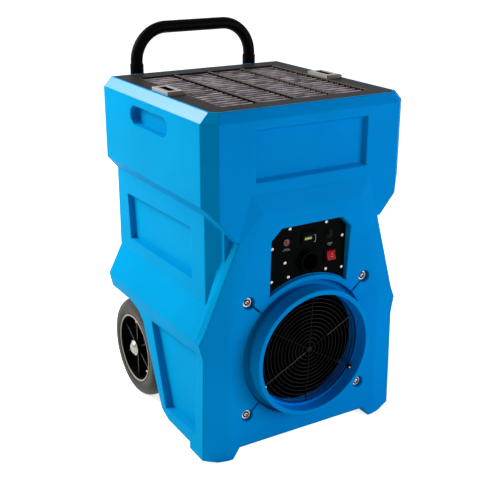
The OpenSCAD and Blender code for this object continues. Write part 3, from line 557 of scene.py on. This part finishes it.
def display_finish(name, lit, dark, room):
    """A black window with a lit strip inside a box of coordinates."""
    finish = Finish(name, lit[:3], 0.4, Specular_IOR_Level=0.1)
    finish.set("Base Color", finish.blend(finish.inside(room), dark, lit))
    return finish.material


def lamp_finish(name, ring, seat, centre, radius):
    """A bright ring round a lamp; past its radius the seat is black."""
    finish = Finish(name, ring[:3], 0.3, Specular_IOR_Level=0.2)
    finish.set("Base Color", finish.blend(finish.beyond(centre, radius), ring, seat))
    return finish.material


UNLIT = linear(9, 10, 9)
LAMP_RADIUS = 0.0061
STRIP_EDGE, STRIP_RIGHT, STRIP_TOP = 0.001, 0.003, 0.0042
ANY_Y, ANY_Z = (-1, 0), (0, 1)
lamp_ring = lamp_finish("lamp_ring", linear(196, 186, 182), UNLIT,
                        middle("pilot_lamp_bezel"), LAMP_RADIUS)
window_low, window_high = (Vector(v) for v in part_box("hour_meter_window"))
display_green = display_finish(
    "display_green", linear(176, 190, 104), UNLIT,
    ((window_low.x + STRIP_EDGE, window_high.x - STRIP_RIGHT), ANY_Y,
     (window_low.z + STRIP_EDGE, window_high.z - STRIP_TOP)))
slats_low, slats_high = (Vector(v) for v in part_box("filter_slats"))
frame_black = filter_frame_finish(
    linear(40, 37, 41), linear(92, 88, 90),
    ((slats_low.x, slats_high.x), (slats_low.y, slats_high.y), ANY_Z))
print("finishes:", len(bpy.data.materials))

# %% [markdown]
# Each solid takes the finish of its kind. The record's slots already sort them, so one table from
# slot to finish dresses every node at once.

# %% Dress the solids
FINISH_OF_SLOT = {
    "blue_plastic": moulded_blue, "handle_paint": handle_black, "black_plastic": satin_black,
    "black_paint": panel_black, "stainless": stainless, "zinc_screw": zinc, "chrome": chrome,
    "red_lens": red_lens, "red_plastic": red_switch, "green_window": display_green,
    "grey_tyre": rubber_black, "brass": brass, "copper": copper, "aluminium_fin": aluminium,
    "rubber": rubber_black, "filter_fabric": fleece,
}
FINISH_OF_NODE = {
    "filter_frame": frame_black, "filter_slats": slat_grey, "wire_guard": guard_black,
    "rim_left": rim_black, "rim_right": rim_black, "fan_shroud": deep_black,
    "fan_impeller": deep_black, "fan_motor": deep_black, "divider_plate": deep_black,
    "outlet_collar": collar_blue, "filter_medium": medium_grey, "power_inlet": panel_black,
    "collar_washers": washer_tan, "latch_strikes": stop_brass, "switch_bezel": panel_black,
    "hour_meter_case": panel_black, "pilot_lamp_bezel": lamp_ring,
}
slot_of = {s["node"]: s["material_slot"] for s in frame["record"]["subparts"]}
for name, obj in NODES.items():
    finish = FINISH_OF_NODE.get(name, FINISH_OF_SLOT[slot_of[name]])
    obj.data.materials.clear()
    obj.data.materials.append(finish)
print("dressed", len(NODES), "solids")

# %% [markdown]
# ## Making pieces
#
# Round pieces are turned: a profile of radius and height runs once round an axis, as on a lathe.
# Rows and rings are grown by Geometry Nodes from sizes with names, made real, and turned into a
# plain mesh. Every piece then rides on the body that carries it, and stands for its solid.

# %% Helpers for pieces
def finish_piece(piece, body, slot, *stands_for):
    """A piece joins a body and hides the solids that it stands for. The slot is not used."""
    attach(piece, body)
    if stands_for:
        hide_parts(*stands_for)
    print(piece.name, "faces:", len(piece.data.polygons))
    return piece


def object_from(name, bm, material, smooth=True):
    """Closes a bmesh into an object with outward normals."""
    bmesh.ops.remove_doubles(bm, verts=bm.verts, dist=1e-6)
    bmesh.ops.recalc_face_normals(bm, faces=bm.faces)
    mesh = bpy.data.meshes.new(name)
    bm.to_mesh(mesh)
    bm.free()
    mesh.materials.append(material)
    if smooth:
        mesh.polygons.foreach_set("use_smooth", [True] * len(mesh.polygons))
        mesh.set_sharp_from_angle(angle=math.radians(38))
    return linked(name, mesh)


def turn(bm, profile, centre, axis, steps=96, closed=False):
    """A profile of (radius, height) in mm, turned round an axis through centre."""
    axis = Vector(axis)
    side = Vector((0, 0, 1)) if abs(axis.z) < 0.5 else Vector((1, 0, 0))
    other = axis.cross(side)
    rings = []
    for step in range(steps):
        angle = 2 * math.pi * step / steps
        out = side * math.cos(angle) + other * math.sin(angle)
        rings.append([bm.verts.new(Vector(centre) + (out * r + axis * h) * MM)
                      for r, h in profile])
    span = len(profile) if closed else len(profile) - 1
    for step, ring in enumerate(rings):
        following = rings[(step + 1) % steps]
        for i in range(span):
            j = (i + 1) % len(profile)
            quad = (ring[i], ring[j], following[j], following[i])
            if profile[i][0] == 0:
                quad = (ring[i], ring[j], following[j])
            elif profile[j][0] == 0:
                quad = (ring[i], ring[j], following[i])
            bm.faces.new(quad)


def finished_mesh(obj):
    """An object's mesh after its modifiers, as plain data."""
    evaluated = obj.evaluated_get(bpy.context.evaluated_depsgraph_get())
    return bpy.data.meshes.new_from_object(evaluated)


class Growth:
    """A Geometry Nodes tree with named inputs, grown on an object and made real."""

    def __init__(self, name):
        self.tree = bpy.data.node_groups.new(name, "GeometryNodeTree")
        for socket, way in (("Geometry", "OUTPUT"), ("Base", "INPUT")):
            self.tree.interface.new_socket(socket, in_out=way, socket_type="NodeSocketGeometry")
        self.given = self.tree.nodes.new("NodeGroupInput")

    def size(self, name, kind="Float"):
        """A named input of the tree."""
        self.tree.interface.new_socket(name, in_out="INPUT", socket_type="NodeSocket" + kind)
        return self.given.outputs[name]

    def node(self, kind, settings, out=0, **sockets):
        """A node: its settings, then its sockets by name, or by number after an underscore."""
        made = self.tree.nodes.new(kind)
        for key, value in settings.items():
            setattr(made, key, value)
        for key, value in sockets.items():
            socket = made.inputs[int(key[1:]) if key[0] == "_" else key.replace("_", " ")]
            if isinstance(value, bpy.types.NodeSocket):
                self.tree.links.new(value, socket)
            else:
                socket.default_value = value
        return made.outputs[out]

    def finish(self, instances):
        """Makes the instances real and gives them the finish that is asked for."""
        material = self.size("Material", "Material")
        real = self.node("GeometryNodeRealizeInstances", {}, Geometry=instances)
        dressed = self.node("GeometryNodeSetMaterial", {}, Geometry=real, Material=material)
        output = self.tree.nodes.new("NodeGroupOutput")
        self.tree.links.new(dressed, output.inputs[0])

    def grow(self, name, points, material, sizes):
        """Runs the tree on loose points, and returns its result as a plain object."""
        seed = bpy.data.meshes.new(name + "_points")
        seed.from_pydata([tuple(p) for p in points], [], [])
        carrier = linked(name + "_points", seed)
        modifier = carrier.modifiers.new("grow", "NODES")
        modifier.node_group = self.tree
        ids = {i.name: i.identifier for i in self.tree.interface.items_tree if i.in_out == "INPUT"}
        for key, value in {"Material": material, **sizes}.items():
            modifier[ids[key]] = value
        carrier.update_tag()
        mesh = finished_mesh(carrier)
        bpy.data.objects.remove(carrier)
        mesh.name = name
        return linked(name, mesh)


print("helpers ready")

# %% [markdown]
# ## The top filter
#
# Thin slats run across the opening under three bars, and short dark ribs stand in rows on both
# sides of each bar and down both sides of the opening. Slats and ribs are rows of one small
# block, so one tree grows both: each loose point starts a row along Y.

# %% Slats and ribs in rows
rows = Growth("rows_of_blocks")
pitch, count = rows.size("Pitch"), rows.size("Count", "Int")
block_size, tilt = rows.size("Block", "Vector"), rows.size("Tilt", "Vector")
step = rows.node("ShaderNodeCombineXYZ", {}, Y=pitch)
line = rows.node("GeometryNodeMeshLine", {"mode": "OFFSET"}, Count=count, Offset=step)
row_start = rows.node("GeometryNodeInstanceOnPoints", {}, Points=rows.given.outputs["Base"],
                      Instance=line)
row_points = rows.node("GeometryNodeRealizeInstances", {}, Geometry=row_start)
cube = rows.node("GeometryNodeMeshCube", {}, Size=block_size)
blocks = rows.node("GeometryNodeInstanceOnPoints", {}, Points=row_points, Instance=cube,
                   Rotation=tilt)
rows.finish(blocks)

SLAT_PITCH, SLAT_TILT = 0.0216, math.radians(15)
SLAT_WIDE, SLAT_THICK = 0.0050, 0.0009
SLAT_START, SLAT_DROP = 0.0009, 0.0012
slat_count = int(round((slats_high.y - slats_low.y) / SLAT_PITCH)) + 1
slat_width = slats_high.x - slats_low.x
first_slat = Vector((0, slats_low.y + SLAT_START, slats_high.z - SLAT_DROP))
slats = rows.grow("filter_slats_dressed", [first_slat], slat_grey, {
    "Pitch": SLAT_PITCH, "Count": slat_count, "Tilt": (SLAT_TILT, 0, 0),
    "Block": (slat_width, SLAT_WIDE, SLAT_THICK)})
finish_piece(slats, "filter", "black_plastic", "filter_slats")

RIB_PITCH, RIB_SIZE = 0.0108, (0.0028, 0.0054, 0.0036)
RIB_SIDE, RIB_INSET, RIB_RISE = 0.0038, 0.003, 0.001
bars_x = [-slat_width / 4, 0, slat_width / 4]
rib_x = [x + side * RIB_SIDE for x in bars_x for side in (-1, 1)]
rib_x += [side * (slat_width / 2 - RIB_INSET) for side in (-1, 1)]
rib_count = int((slats_high.y - slats_low.y) / RIB_PITCH)
rib_points = [(x, slats_low.y + RIB_PITCH / 2, slats_high.z + RIB_RISE) for x in rib_x]
ribs = rows.grow("filter_ribs", rib_points, deep_black, {
    "Pitch": RIB_PITCH, "Count": rib_count, "Tilt": (0, 0, 0), "Block": RIB_SIZE})
finish_piece(ribs, "filter", "black_plastic")

# %% [markdown]
# ## The wheels
#
# A solid rubber tyre has round shoulders, a shallow step where it meets the rim, and fine
# grooves round the tread. It is a closed profile, turned once. The rim keeps its solid, and gets
# a thin bead ring where it meets the rubber, a pressed cap over the axle, and the two small
# bolts that show at the ends of its ribs.

# %% Turned tyres, bead rings and caps
TYRE_HALF = [
    (86.3, 23.0), (86.8, 25.6), (88.4, 26.6), (91.5, 26.9), (94.0, 27.9), (99.0, 28.9),
    (105.0, 29.0), (111.0, 28.2), (116.0, 26.2), (119.6, 23.4), (120.6, 22.2), (120.3, 21.3),
    (122.0, 20.2), (123.8, 17.6), (124.3, 16.6), (123.5, 15.9), (124.9, 14.6), (126.0, 11.4),
    (126.2, 10.4), (125.2, 9.9), (125.2, 8.9), (126.4, 8.4), (126.9, 4.0), (127.0, 0.0)]
TYRE_PROFILE = TYRE_HALF + [(r, -h) for r, h in reversed(TYRE_HALF[:-1])]
BEAD_AT, BEAD_HALF, BEAD_SIDES = (85.3, 26.9), (1.7, 1.4), 12
BEAD_PROFILE = [(BEAD_AT[0] + BEAD_HALF[0] * math.cos(a), BEAD_AT[1] + BEAD_HALF[1] * math.sin(a))
                for a in (i * math.pi / (BEAD_SIDES / 2) for i in range(BEAD_SIDES))]
CAP_PROFILE = [(0, 7.6), (2.2, 7.7), (3.4, 8.6), (4.6, 9.6), (5.6, 9.7), (8.5, 8.9), (12.0, 7.1),
               (15.0, 5.0), (17.4, 2.9), (18.4, 2.0), (19.6, 1.5), (20.0, 0.4), (17.0, 0.2),
               (11.0, 2.6), (0, 4.6)]
BOLT_PROFILE = [(0, 6.4), (1.6, 6.2), (2.7, 5.2), (2.9, 4.0), (2.9, -2.0), (0, -2.0)]
RIB_BOLTS = ((85.0, 68.0, 12.0), (-146.0, 73.0, 17.0))  # angle, radius and height of each


def wheel_piece(name, profile, centre, side, material, body, slot, node=None, **options):
    """A piece turned round the axle, its top towards the wheel's outer side."""
    bm = bmesh.new()
    turn(bm, profile, centre, (side, 0, 0), **options)
    piece = object_from(name, bm, material)
    return finish_piece(piece, body, slot, *([node] if node else []))


for word, side in (("left", -1), ("right", 1)):
    body, hub = "wheel_" + word, middle("tyre_" + word)
    cap_low, cap_high = (Vector(v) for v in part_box("hub_cap_" + word))
    cap_x = cap_high.x if side < 0 else cap_low.x
    wheel_piece("tyre_dressed_" + word, TYRE_PROFILE, hub, side, rubber_black, body,
                "grey_tyre", "tyre_" + word, steps=160, closed=True)
    wheel_piece("bead_ring_" + word, BEAD_PROFILE, hub, side, bead_grey, body,
                "grey_tyre", steps=128, closed=True)
    wheel_piece("cap_dressed_" + word, CAP_PROFILE, (cap_x, hub.y, hub.z), side, chrome, body,
                "chrome", "hub_cap_" + word, steps=64)
    for number, (angle, radius, height) in enumerate(RIB_BOLTS):
        a = math.radians(angle)
        at = hub + Vector((side * height, radius * math.cos(a), radius * math.sin(a))) * MM
        wheel_piece(f"rim_bolt_{word}_{number + 1}", BOLT_PROFILE, at, side, zinc, body,
                    "zinc_screw", steps=20)

# %% [markdown]
# ## The wire guard
#
# The guard is a rule: rings of one wire at one pitch, welded to six spokes. A row of circles is
# scaled ring by ring before the wire is swept along them, so the wire keeps its thickness. Two
# spokes in one line carry a painted highlight: thin pale bars along their fronts.

# %% Rings and spokes by rule
RING_PITCH, RING_COUNT, WIRE = 0.0095, 13, 0.0011
RING_Y, OUTER_RING = -0.263, 0.1315
rings = Growth("rings_of_wire")
outer, ring_pitch = rings.size("Outer radius"), rings.size("Pitch")
ring_count, wire = rings.size("Rings", "Int"), rings.size("Wire radius")
line = rings.node("GeometryNodeMeshLine", {"mode": "OFFSET"}, Count=ring_count,
                  Offset=(0.0, 0.0, 0.0))
order = rings.node("GeometryNodeInputIndex", {})
inward = rings.node("ShaderNodeMath", {"operation": "MULTIPLY"}, _0=order, _1=ring_pitch)
radius = rings.node("ShaderNodeMath", {"operation": "SUBTRACT"}, _0=outer, _1=inward)
circle = rings.node("GeometryNodeCurvePrimitiveCircle", {}, Resolution=128, Radius=1.0)
scale = rings.node("ShaderNodeCombineXYZ", {}, X=radius, Y=radius, Z=radius)
placed = rings.node("GeometryNodeInstanceOnPoints", {}, Points=line, Instance=circle, Scale=scale)
loose = rings.node("GeometryNodeRealizeInstances", {}, Geometry=placed)
section = rings.node("GeometryNodeCurvePrimitiveCircle", {}, Resolution=8, Radius=wire)
swept = rings.node("GeometryNodeCurveToMesh", {}, Curve=loose, Profile_Curve=section)
upright = rings.node("GeometryNodeInstanceOnPoints", {}, Points=rings.given.outputs["Base"],
                     Instance=swept, Rotation=(math.pi / 2, 0.0, 0.0))
rings.finish(upright)
ring_piece = rings.grow("guard_rings", [(0, RING_Y, collar_centre.z)], guard_black, {
    "Outer radius": OUTER_RING, "Pitch": RING_PITCH, "Rings": RING_COUNT, "Wire radius": WIRE})
ring_piece.data.polygons.foreach_set("use_smooth", [True] * len(ring_piece.data.polygons))

FIRST_SPOKE, SPOKES = 27, 6
SPOKE_ANGLES = [FIRST_SPOKE + 360 // SPOKES * i for i in range(SPOKES)]
SPOKE_RADIUS, SPOKE_START, SPOKE_PAST, SPOKE_PROUD = 1.1, 0.005, 0.0005, 1.7
HIGHLIGHT_RADIUS, HIGHLIGHT_SHORT, HIGHLIGHT_PROUD = 0.5, 0.003, 0.0008
LUG_ANGLES = SPOKE_ANGLES[1::2]
LUG_AT, LUG_Y = 0.1354, -0.2606
LUG_PROFILE = [(0, 10), (4.6, 10), (5.4, 9.2), (5.4, 0), (0, 0)]
HUB_PROFILE = [(0, 3.4), (5.4, 3.2), (7.0, 1.8), (7.0, 0), (0, 0)]


def add_spoke(bm, degrees, radius, first, last):
    """A round bar along a radius of the guard, in front of its rings."""
    a = math.radians(degrees)
    out = Vector((math.cos(a), 0, math.sin(a)))
    start = Vector((0, RING_Y - SPOKE_PROUD * MM, collar_centre.z)) + out * first
    length = (last - first) / MM
    turn(bm, [(0, 0), (radius, 0), (radius, length), (0, length)], start, out, steps=8)


bm = bmesh.new()
for degrees in SPOKE_ANGLES:
    add_spoke(bm, degrees, SPOKE_RADIUS, SPOKE_START, OUTER_RING + SPOKE_PAST)
turn(bm, HUB_PROFILE, (0, RING_Y, collar_centre.z), (0, -1, 0), steps=32)
for degrees in LUG_ANGLES:
    a = math.radians(degrees)
    at = (LUG_AT * math.cos(a), LUG_Y, collar_centre.z + LUG_AT * math.sin(a))
    turn(bm, LUG_PROFILE, at, (0, -1, 0), steps=32)
spokes = object_from("guard_spokes", bm, guard_black)
finish_piece(ring_piece, "cabinet", "black_paint", "wire_guard")
finish_piece(spokes, "cabinet", "black_paint")
# Painted highlight: thin pale bars along the fronts of two spokes.
bm = bmesh.new()
for degrees, first in ((SPOKE_ANGLES[0], 0.055), (SPOKE_ANGLES[3], 0.012)):
    add_spoke(bm, degrees, HIGHLIGHT_RADIUS, first, OUTER_RING - HIGHLIGHT_SHORT)
bmesh.ops.translate(bm, vec=(0, -HIGHLIGHT_PROUD, 0), verts=bm.verts)
highlight_spokes = object_from("guard_worn_spokes", bm, spoke_highlight)
finish_piece(highlight_spokes, "cabinet", "black_paint")

# %% [markdown]
# ## Painted shade inside the cabinet
#
# Behind the fan a camera can see past the compressor to the side walls. Two black sheets line them
# there: painted shade that keeps the inside dark. A black sheet lies behind the louvres.

# %% Sheets of painted shade, and a screen
SHADE_SHEET_AT, SHADE_SHEET_THICK = 0.176, 0.0025
SHADE_SHEET_Y, SHADE_SHEET_Z = (-0.165, 0.205), (0.036, 0.338)
SCREEN_HALF, SCREEN_Z, SCREEN_THICK, SCREEN_GAP = 0.12, (0.09, 0.33), 0.0015, 0.0005


def add_block(bm, low, high):
    """A block from its low corner to its high one."""
    size = Vector(high) - Vector(low)
    made = bmesh.ops.create_cube(bm, size=1)["verts"]
    bmesh.ops.scale(bm, vec=size, verts=made)
    bmesh.ops.translate(bm, vec=Vector(low) + size / 2, verts=made)


# Painted shade: black sheets on the inner side walls keep the inside dark.
for word, side in (("left", -1), ("right", 1)):
    near, far = sorted((side * SHADE_SHEET_AT, side * (SHADE_SHEET_AT + SHADE_SHEET_THICK)))
    bm = bmesh.new()
    add_block(bm, (near, SHADE_SHEET_Y[0], SHADE_SHEET_Z[0]), (far, SHADE_SHEET_Y[1], SHADE_SHEET_Z[1]))
    shade_sheet_piece = object_from("foam_sheet_" + word, bm, deep_black, smooth=False)
    finish_piece(shade_sheet_piece, "cabinet", "black_plastic")

screen_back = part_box("rear_cover")[0][1] - SCREEN_GAP
bm = bmesh.new()
add_block(bm, (-SCREEN_HALF, screen_back - SCREEN_THICK, SCREEN_Z[0]),
          (SCREEN_HALF, screen_back, SCREEN_Z[1]))
screen = object_from("louvre_screen", bm, deep_black, smooth=False)
finish_piece(screen, "cabinet", "black_plastic")

# %% [markdown]
# ## Screws
#
# Two kinds of head repeat over the front: the large domed heads that hold the duct collar, each in
# a black ring of painted shade on its washer with a black disc of painted shade in its cross, and
# the small cross heads of the panel. Each kind is made once, and one tree sets it on its points.

# %% Screw heads on their points
def head_tree(name, master):
    """A tree that copies a head onto loose points, each turned a little differently."""
    heads = Growth(name)
    facing, seed = heads.size("Facing", "Vector"), heads.size("Seed", "Int")
    info = heads.node("GeometryNodeObjectInfo", {}, out="Geometry", Object=master)
    copies = heads.node("GeometryNodeInstanceOnPoints", {}, Points=heads.given.outputs["Base"],
                        Instance=info, Rotation=facing)
    spin = heads.node("FunctionNodeRandomValue", {"data_type": "FLOAT"}, out=1, _2=0.0,
                      _3=math.tau, Seed=seed)
    turned = heads.node("ShaderNodeCombineXYZ", {}, Z=spin)
    spun = heads.node("GeometryNodeRotateInstances", {}, Instances=copies, Rotation=turned)
    heads.finish(spun)
    return heads


def island_centres(node):
    """The centre of each separate solid in a node, from its own mesh."""
    bm = bmesh.new()
    bm.from_mesh(NODES[node].data)
    bmesh.ops.remove_doubles(bm, verts=bm.verts, dist=1e-6)
    found, seen = [], set()
    for start in bm.verts:
        if start.index in seen:
            continue
        stack, corners = [start], []
        seen.add(start.index)
        while stack:
            vert = stack.pop()
            corners.append(vert.co.copy())
            for edge in vert.link_edges:
                other = edge.other_vert(vert)
                if other.index not in seen:
                    seen.add(other.index)
                    stack.append(other)
        found.append([Vector(f(c[i] for c in corners) for i in range(3)) for f in (min, max)])
    bm.free()
    return found


def master_head(name, parts, recess=None):
    """A head at the origin that faces +Z, from turned parts.

    A recess is a cross cut into it: its reach and half width, and its top and floor."""
    bm = bmesh.new()
    for profile in parts:
        turn(bm, profile, (0, 0, 0), (0, 0, 1), steps=32)
    head = object_from(name, bm, zinc)
    if recess:
        reach, width, top, floor = recess
        cutter = bmesh.new()
        for x, y in ((reach, width), (width, reach)):
            made = bmesh.ops.create_cube(cutter, size=1)["verts"]
            bmesh.ops.scale(cutter, vec=Vector((2 * x, 2 * y, top - floor)) * MM, verts=made)
            bmesh.ops.translate(cutter, vec=(0, 0, (top + floor) / 2 * MM), verts=made)
        tool = object_from(name + "_cutter", cutter, zinc, smooth=False)
        cut = head.modifiers.new("cross", "BOOLEAN")
        cut.object, cut.operation, cut.solver = tool, "DIFFERENCE", "EXACT"
        cut.use_self = True
        mesh = finished_mesh(head)
        head.modifiers.clear()
        head.data = mesh
        bpy.data.objects.remove(tool)
    return head


FACING_FRONT = (math.pi / 2, 0, 0)
DOME = [(0, 3.1), (1.8, 3.0), (3.6, 2.4), (5.0, 1.4), (5.6, 0.2), (5.6, -0.6), (0, -0.6)]
# Painted shade: a black disc that shows in the cross recess, and a black ring round each dome.
RECESS_SHADE = [(0, 1.3), (3.4, 1.3), (3.4, 1.25), (0, 1.25)]
SHADE_RING = [(5.4, -0.6), (5.4, 0.7), (7.5, 0.7), (7.5, -0.6), (5.4, -0.6)]
PAN = [(0, 2.1), (1.6, 2.0), (3.0, 1.5), (3.9, 0.7), (4.2, 0.0), (4.2, -0.2), (0, -0.2)]
GUARD_HEAD = 0.72
SMALL_PAN = [(r * GUARD_HEAD, h * GUARD_HEAD) for r, h in PAN]
COLLAR_SEAT, PANEL_SEAT, GUARD_SEAT = 4.2, 2.5, 1.8
SEED = 3
masters = []


def set_heads(node, name, kinds):
    """Sets each kind of part on every screw of a node, at a height over the screw's front."""
    boxes = island_centres(node)
    points = [((low.x + high.x) / 2, low.y, (low.z + high.z) / 2) for low, high in boxes]
    for number, (parts, recess, height, material) in enumerate(kinds):
        master = master_head(f"{name}_master_{number}", parts, recess)
        masters.append(master)
        tree = head_tree(f"{name}_{number}", master)
        seats = [(x, y + height * MM, z) for x, y, z in points]
        piece = tree.grow(f"{name}_{number + 1}", seats, material,
                          {"Facing": FACING_FRONT, "Seed": SEED})
        finish_piece(piece, "cabinet", "zinc_screw", *([node] if number == 0 else []))
    return points


collar_points = set_heads("collar_screws", "collar_head", [
    ([DOME], (3.6, 1.0, 4, 1.2), COLLAR_SEAT, zinc),
    # Painted shade: the black ring and the black recess disc.
    ([SHADE_RING, RECESS_SHADE], None, COLLAR_SEAT, deep_black)])
panel_points = set_heads("panel_screws", "panel_head",
                         [([PAN], (2.4, 0.5, 3, 0.9), PANEL_SEAT, zinc)])
guard_points = set_heads("guard_screws", "guard_head",
                         [([SMALL_PAN], (1.7, 0.4, 3, 0.7), GUARD_SEAT, zinc)])
for master in masters:
    bpy.data.objects.remove(master)
print("heads set:", len(collar_points), len(panel_points), len(guard_points))

# %% [markdown]
# ## Latches and small marks
#
# A latch is one bent sheet with a slot for a finger, and the slot looks down on a black pad of
# painted shadow. A black bar stands beside it on the filter's frame. The rocker has two pale
# marks, the hour meter has a pale bracket beside its window, and plain bars stand where the panel
# has its labels.
# Each is set where the photograph shows it, by a ray to the surface that carries it.

# %% Bent latches, and marks by ray
LATCH_SHEET, SLOT_INSET, SLOT_END = 0.0015, 0.009, 0.0115
DARK_BAR_GAP, DARK_BAR, DARK_BAR_LIFT, DARK_BAR_DROP = 0.0004, 0.0030, 0.0002, 0.0006
SHADOW_PAD_LIFT, MARK_PROUD = 0.002, 0.3
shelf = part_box("filter_frame")[1][2]
for word in ("left", "right"):
    low, high = (Vector(v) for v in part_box("latch_plate_" + word))
    under = high.z - LATCH_SHEET
    slot = (low.x + SLOT_INSET, low.y + SLOT_END, high.x - SLOT_INSET, high.y - SLOT_END)
    bm = bmesh.new()
    add_block(bm, (low.x, low.y, under), (slot[0], high.y, high.z))
    add_block(bm, (slot[2], low.y, under), (high.x, high.y, high.z))
    add_block(bm, (slot[0], low.y, under), (slot[2], slot[1], high.z))
    add_block(bm, (slot[0], slot[3], under), (slot[2], high.y, high.z))
    for x in (low.x, high.x - LATCH_SHEET):
        add_block(bm, (x, low.y, low.z), (x + LATCH_SHEET, high.y, under))
    sheet = object_from("latch_sheet_" + word, bm, latch_steel, smooth=False)
    finish_piece(sheet, "latch_" + word, "stainless", "latch_plate_" + word)
    # Painted shadow: a black pad under the slot.
    bm = bmesh.new()
    add_block(bm, (low.x + LATCH_SHEET, low.y + LATCH_SHEET, low.z + SHADOW_PAD_LIFT),
              (high.x - LATCH_SHEET, high.y - LATCH_SHEET, under))
    shadow_pad = object_from("latch_pad_" + word, bm, deep_black, smooth=False)
    finish_piece(shadow_pad, "latch_" + word, "black_plastic")
    # A black bar on the filter's frame in front of each latch.
    bm = bmesh.new()
    add_block(bm, (low.x, low.y - DARK_BAR_GAP - DARK_BAR, shelf + DARK_BAR_LIFT),
              (high.x, low.y - DARK_BAR_GAP, high.z - DARK_BAR_DROP))
    dark_bar = object_from("latch_bumper_" + word, bm, deep_black, smooth=False)
    finish_piece(dark_bar, "filter", "rubber")


def mark_on(node, point, name, bars, material, body, slot):
    """Thin bars (x, z, width, height in mm) on a node's surface, where a point's ray meets it."""
    hit, normal = place_on(surface_tree(NODES[node]), point)
    bm = bmesh.new()
    for x, z, width, height in bars:
        add_block(bm, Vector((x - width / 2, -MARK_PROUD, z - height / 2)) * MM,
                  Vector((x + width / 2, MARK_PROUD, z + height / 2)) * MM)
    turned = normal.to_track_quat("-Y", "Z").to_matrix().to_4x4()
    bmesh.ops.transform(bm, matrix=Matrix.Translation(hit) @ turned, verts=bm.verts)
    return finish_piece(object_from(name, bm, material, smooth=False), body, slot)


marks = {
    "rocker_mark_upper": mark_on("switch_rocker", "rocker_mark_upper", "rocker_bar",
                                 [(0, 0, 1.2, 5.2)], switch_mark, "rocker", "red_plastic"),
    "rocker_mark_lower": mark_on("switch_rocker", "rocker_mark_lower", "rocker_dash",
                                 [(0, 0, 4.8, 1.4)], switch_mark, "rocker", "red_plastic"),
    "meter_bracket": mark_on("hour_meter_case", "meter_bracket", "meter_bracket",
                             [(1.6, 0, 1.0, 17), (-0.4, 8, 4, 1), (-0.4, -8, 4, 1)],
                             bezel_light, "cabinet", "black_plastic"),
    "lamp_label": mark_on("control_panel", "lamp_label", "lamp_bars",
                          [(0, 1.5, 14, 1.5), (0, -1.7, 20, 1.3)],
                          label_grey, "cabinet", "black_plastic"),
    "switch_label": mark_on("control_panel", "switch_label", "switch_bars",
                            [(0, 2.6, 14, 1.7), (-1, -0.2, 11, 1.7), (0, -3, 4, 1.4)],
                            label_grey, "cabinet", "black_plastic"),
}
print("marks set:", len(marks))

# %% [markdown]
# ## How true the picture is
#
# The edges come from the finished vertices that show, and each feature from the middle of its
# piece, seen through the same camera. The differences are taken in pixels.

# %% Measure and finish
def showing(*objects):
    """The pixels of the objects' finished vertices."""
    depsgraph = bpy.context.evaluated_depsgraph_get()
    found = []
    for obj in objects:
        mesh = obj.evaluated_get(depsgraph).to_mesh()
        found += [pixel_of(obj.matrix_world @ v.co) for v in mesh.vertices]
    return found


def centre_of(*objects):
    """The middle of what shows of some objects."""
    seen = showing(*objects)
    return tuple((min(c[i] for c in seen) + max(c[i] for c in seen)) / 2 for i in (0, 1))


def nearest(point, places):
    """Of some places, the pixel of the one nearest a point."""
    x, y = POINTS[point]
    return min((pixel_of(p) for p in places), key=lambda q: (q[0] - x) ** 2 + (q[1] - y) ** 2)


piece = bpy.data.objects.get
outline = showing(*[o for o in bpy.data.objects if o.type == "MESH" and o is not floor
                    and not o.hide_render])
seen = {
    "left_edge": (min(x for x, _ in outline), None),
    "right_edge": (max(x for x, _ in outline), None),
    "top_edge": (None, min(y for _, y in outline)),
    "bottom_edge": (None, max(y for _, y in outline)),
    "pilot_lamp": centre_of(NODES["pilot_lamp_bezel"]),
    "rocker": centre_of(NODES["switch_rocker"]),
    "hub_cap_left": centre_of(piece("cap_dressed_left")),
    "guard_screw": nearest("guard_screw", guard_points),
}
seen.update({name: centre_of(mark) for name, mark in marks.items()})
for name in ("screw_upper_left", "screw_upper_right", "screw_lower_left", "screw_lower_right"):
    seen[name] = nearest(name, collar_points)
for name, (x, y) in seen.items():
    at_x, at_y = POINTS[name]
    None if at_x is None else round(x - at_x, 2)
    None if at_y is None else round(y - at_y, 2)
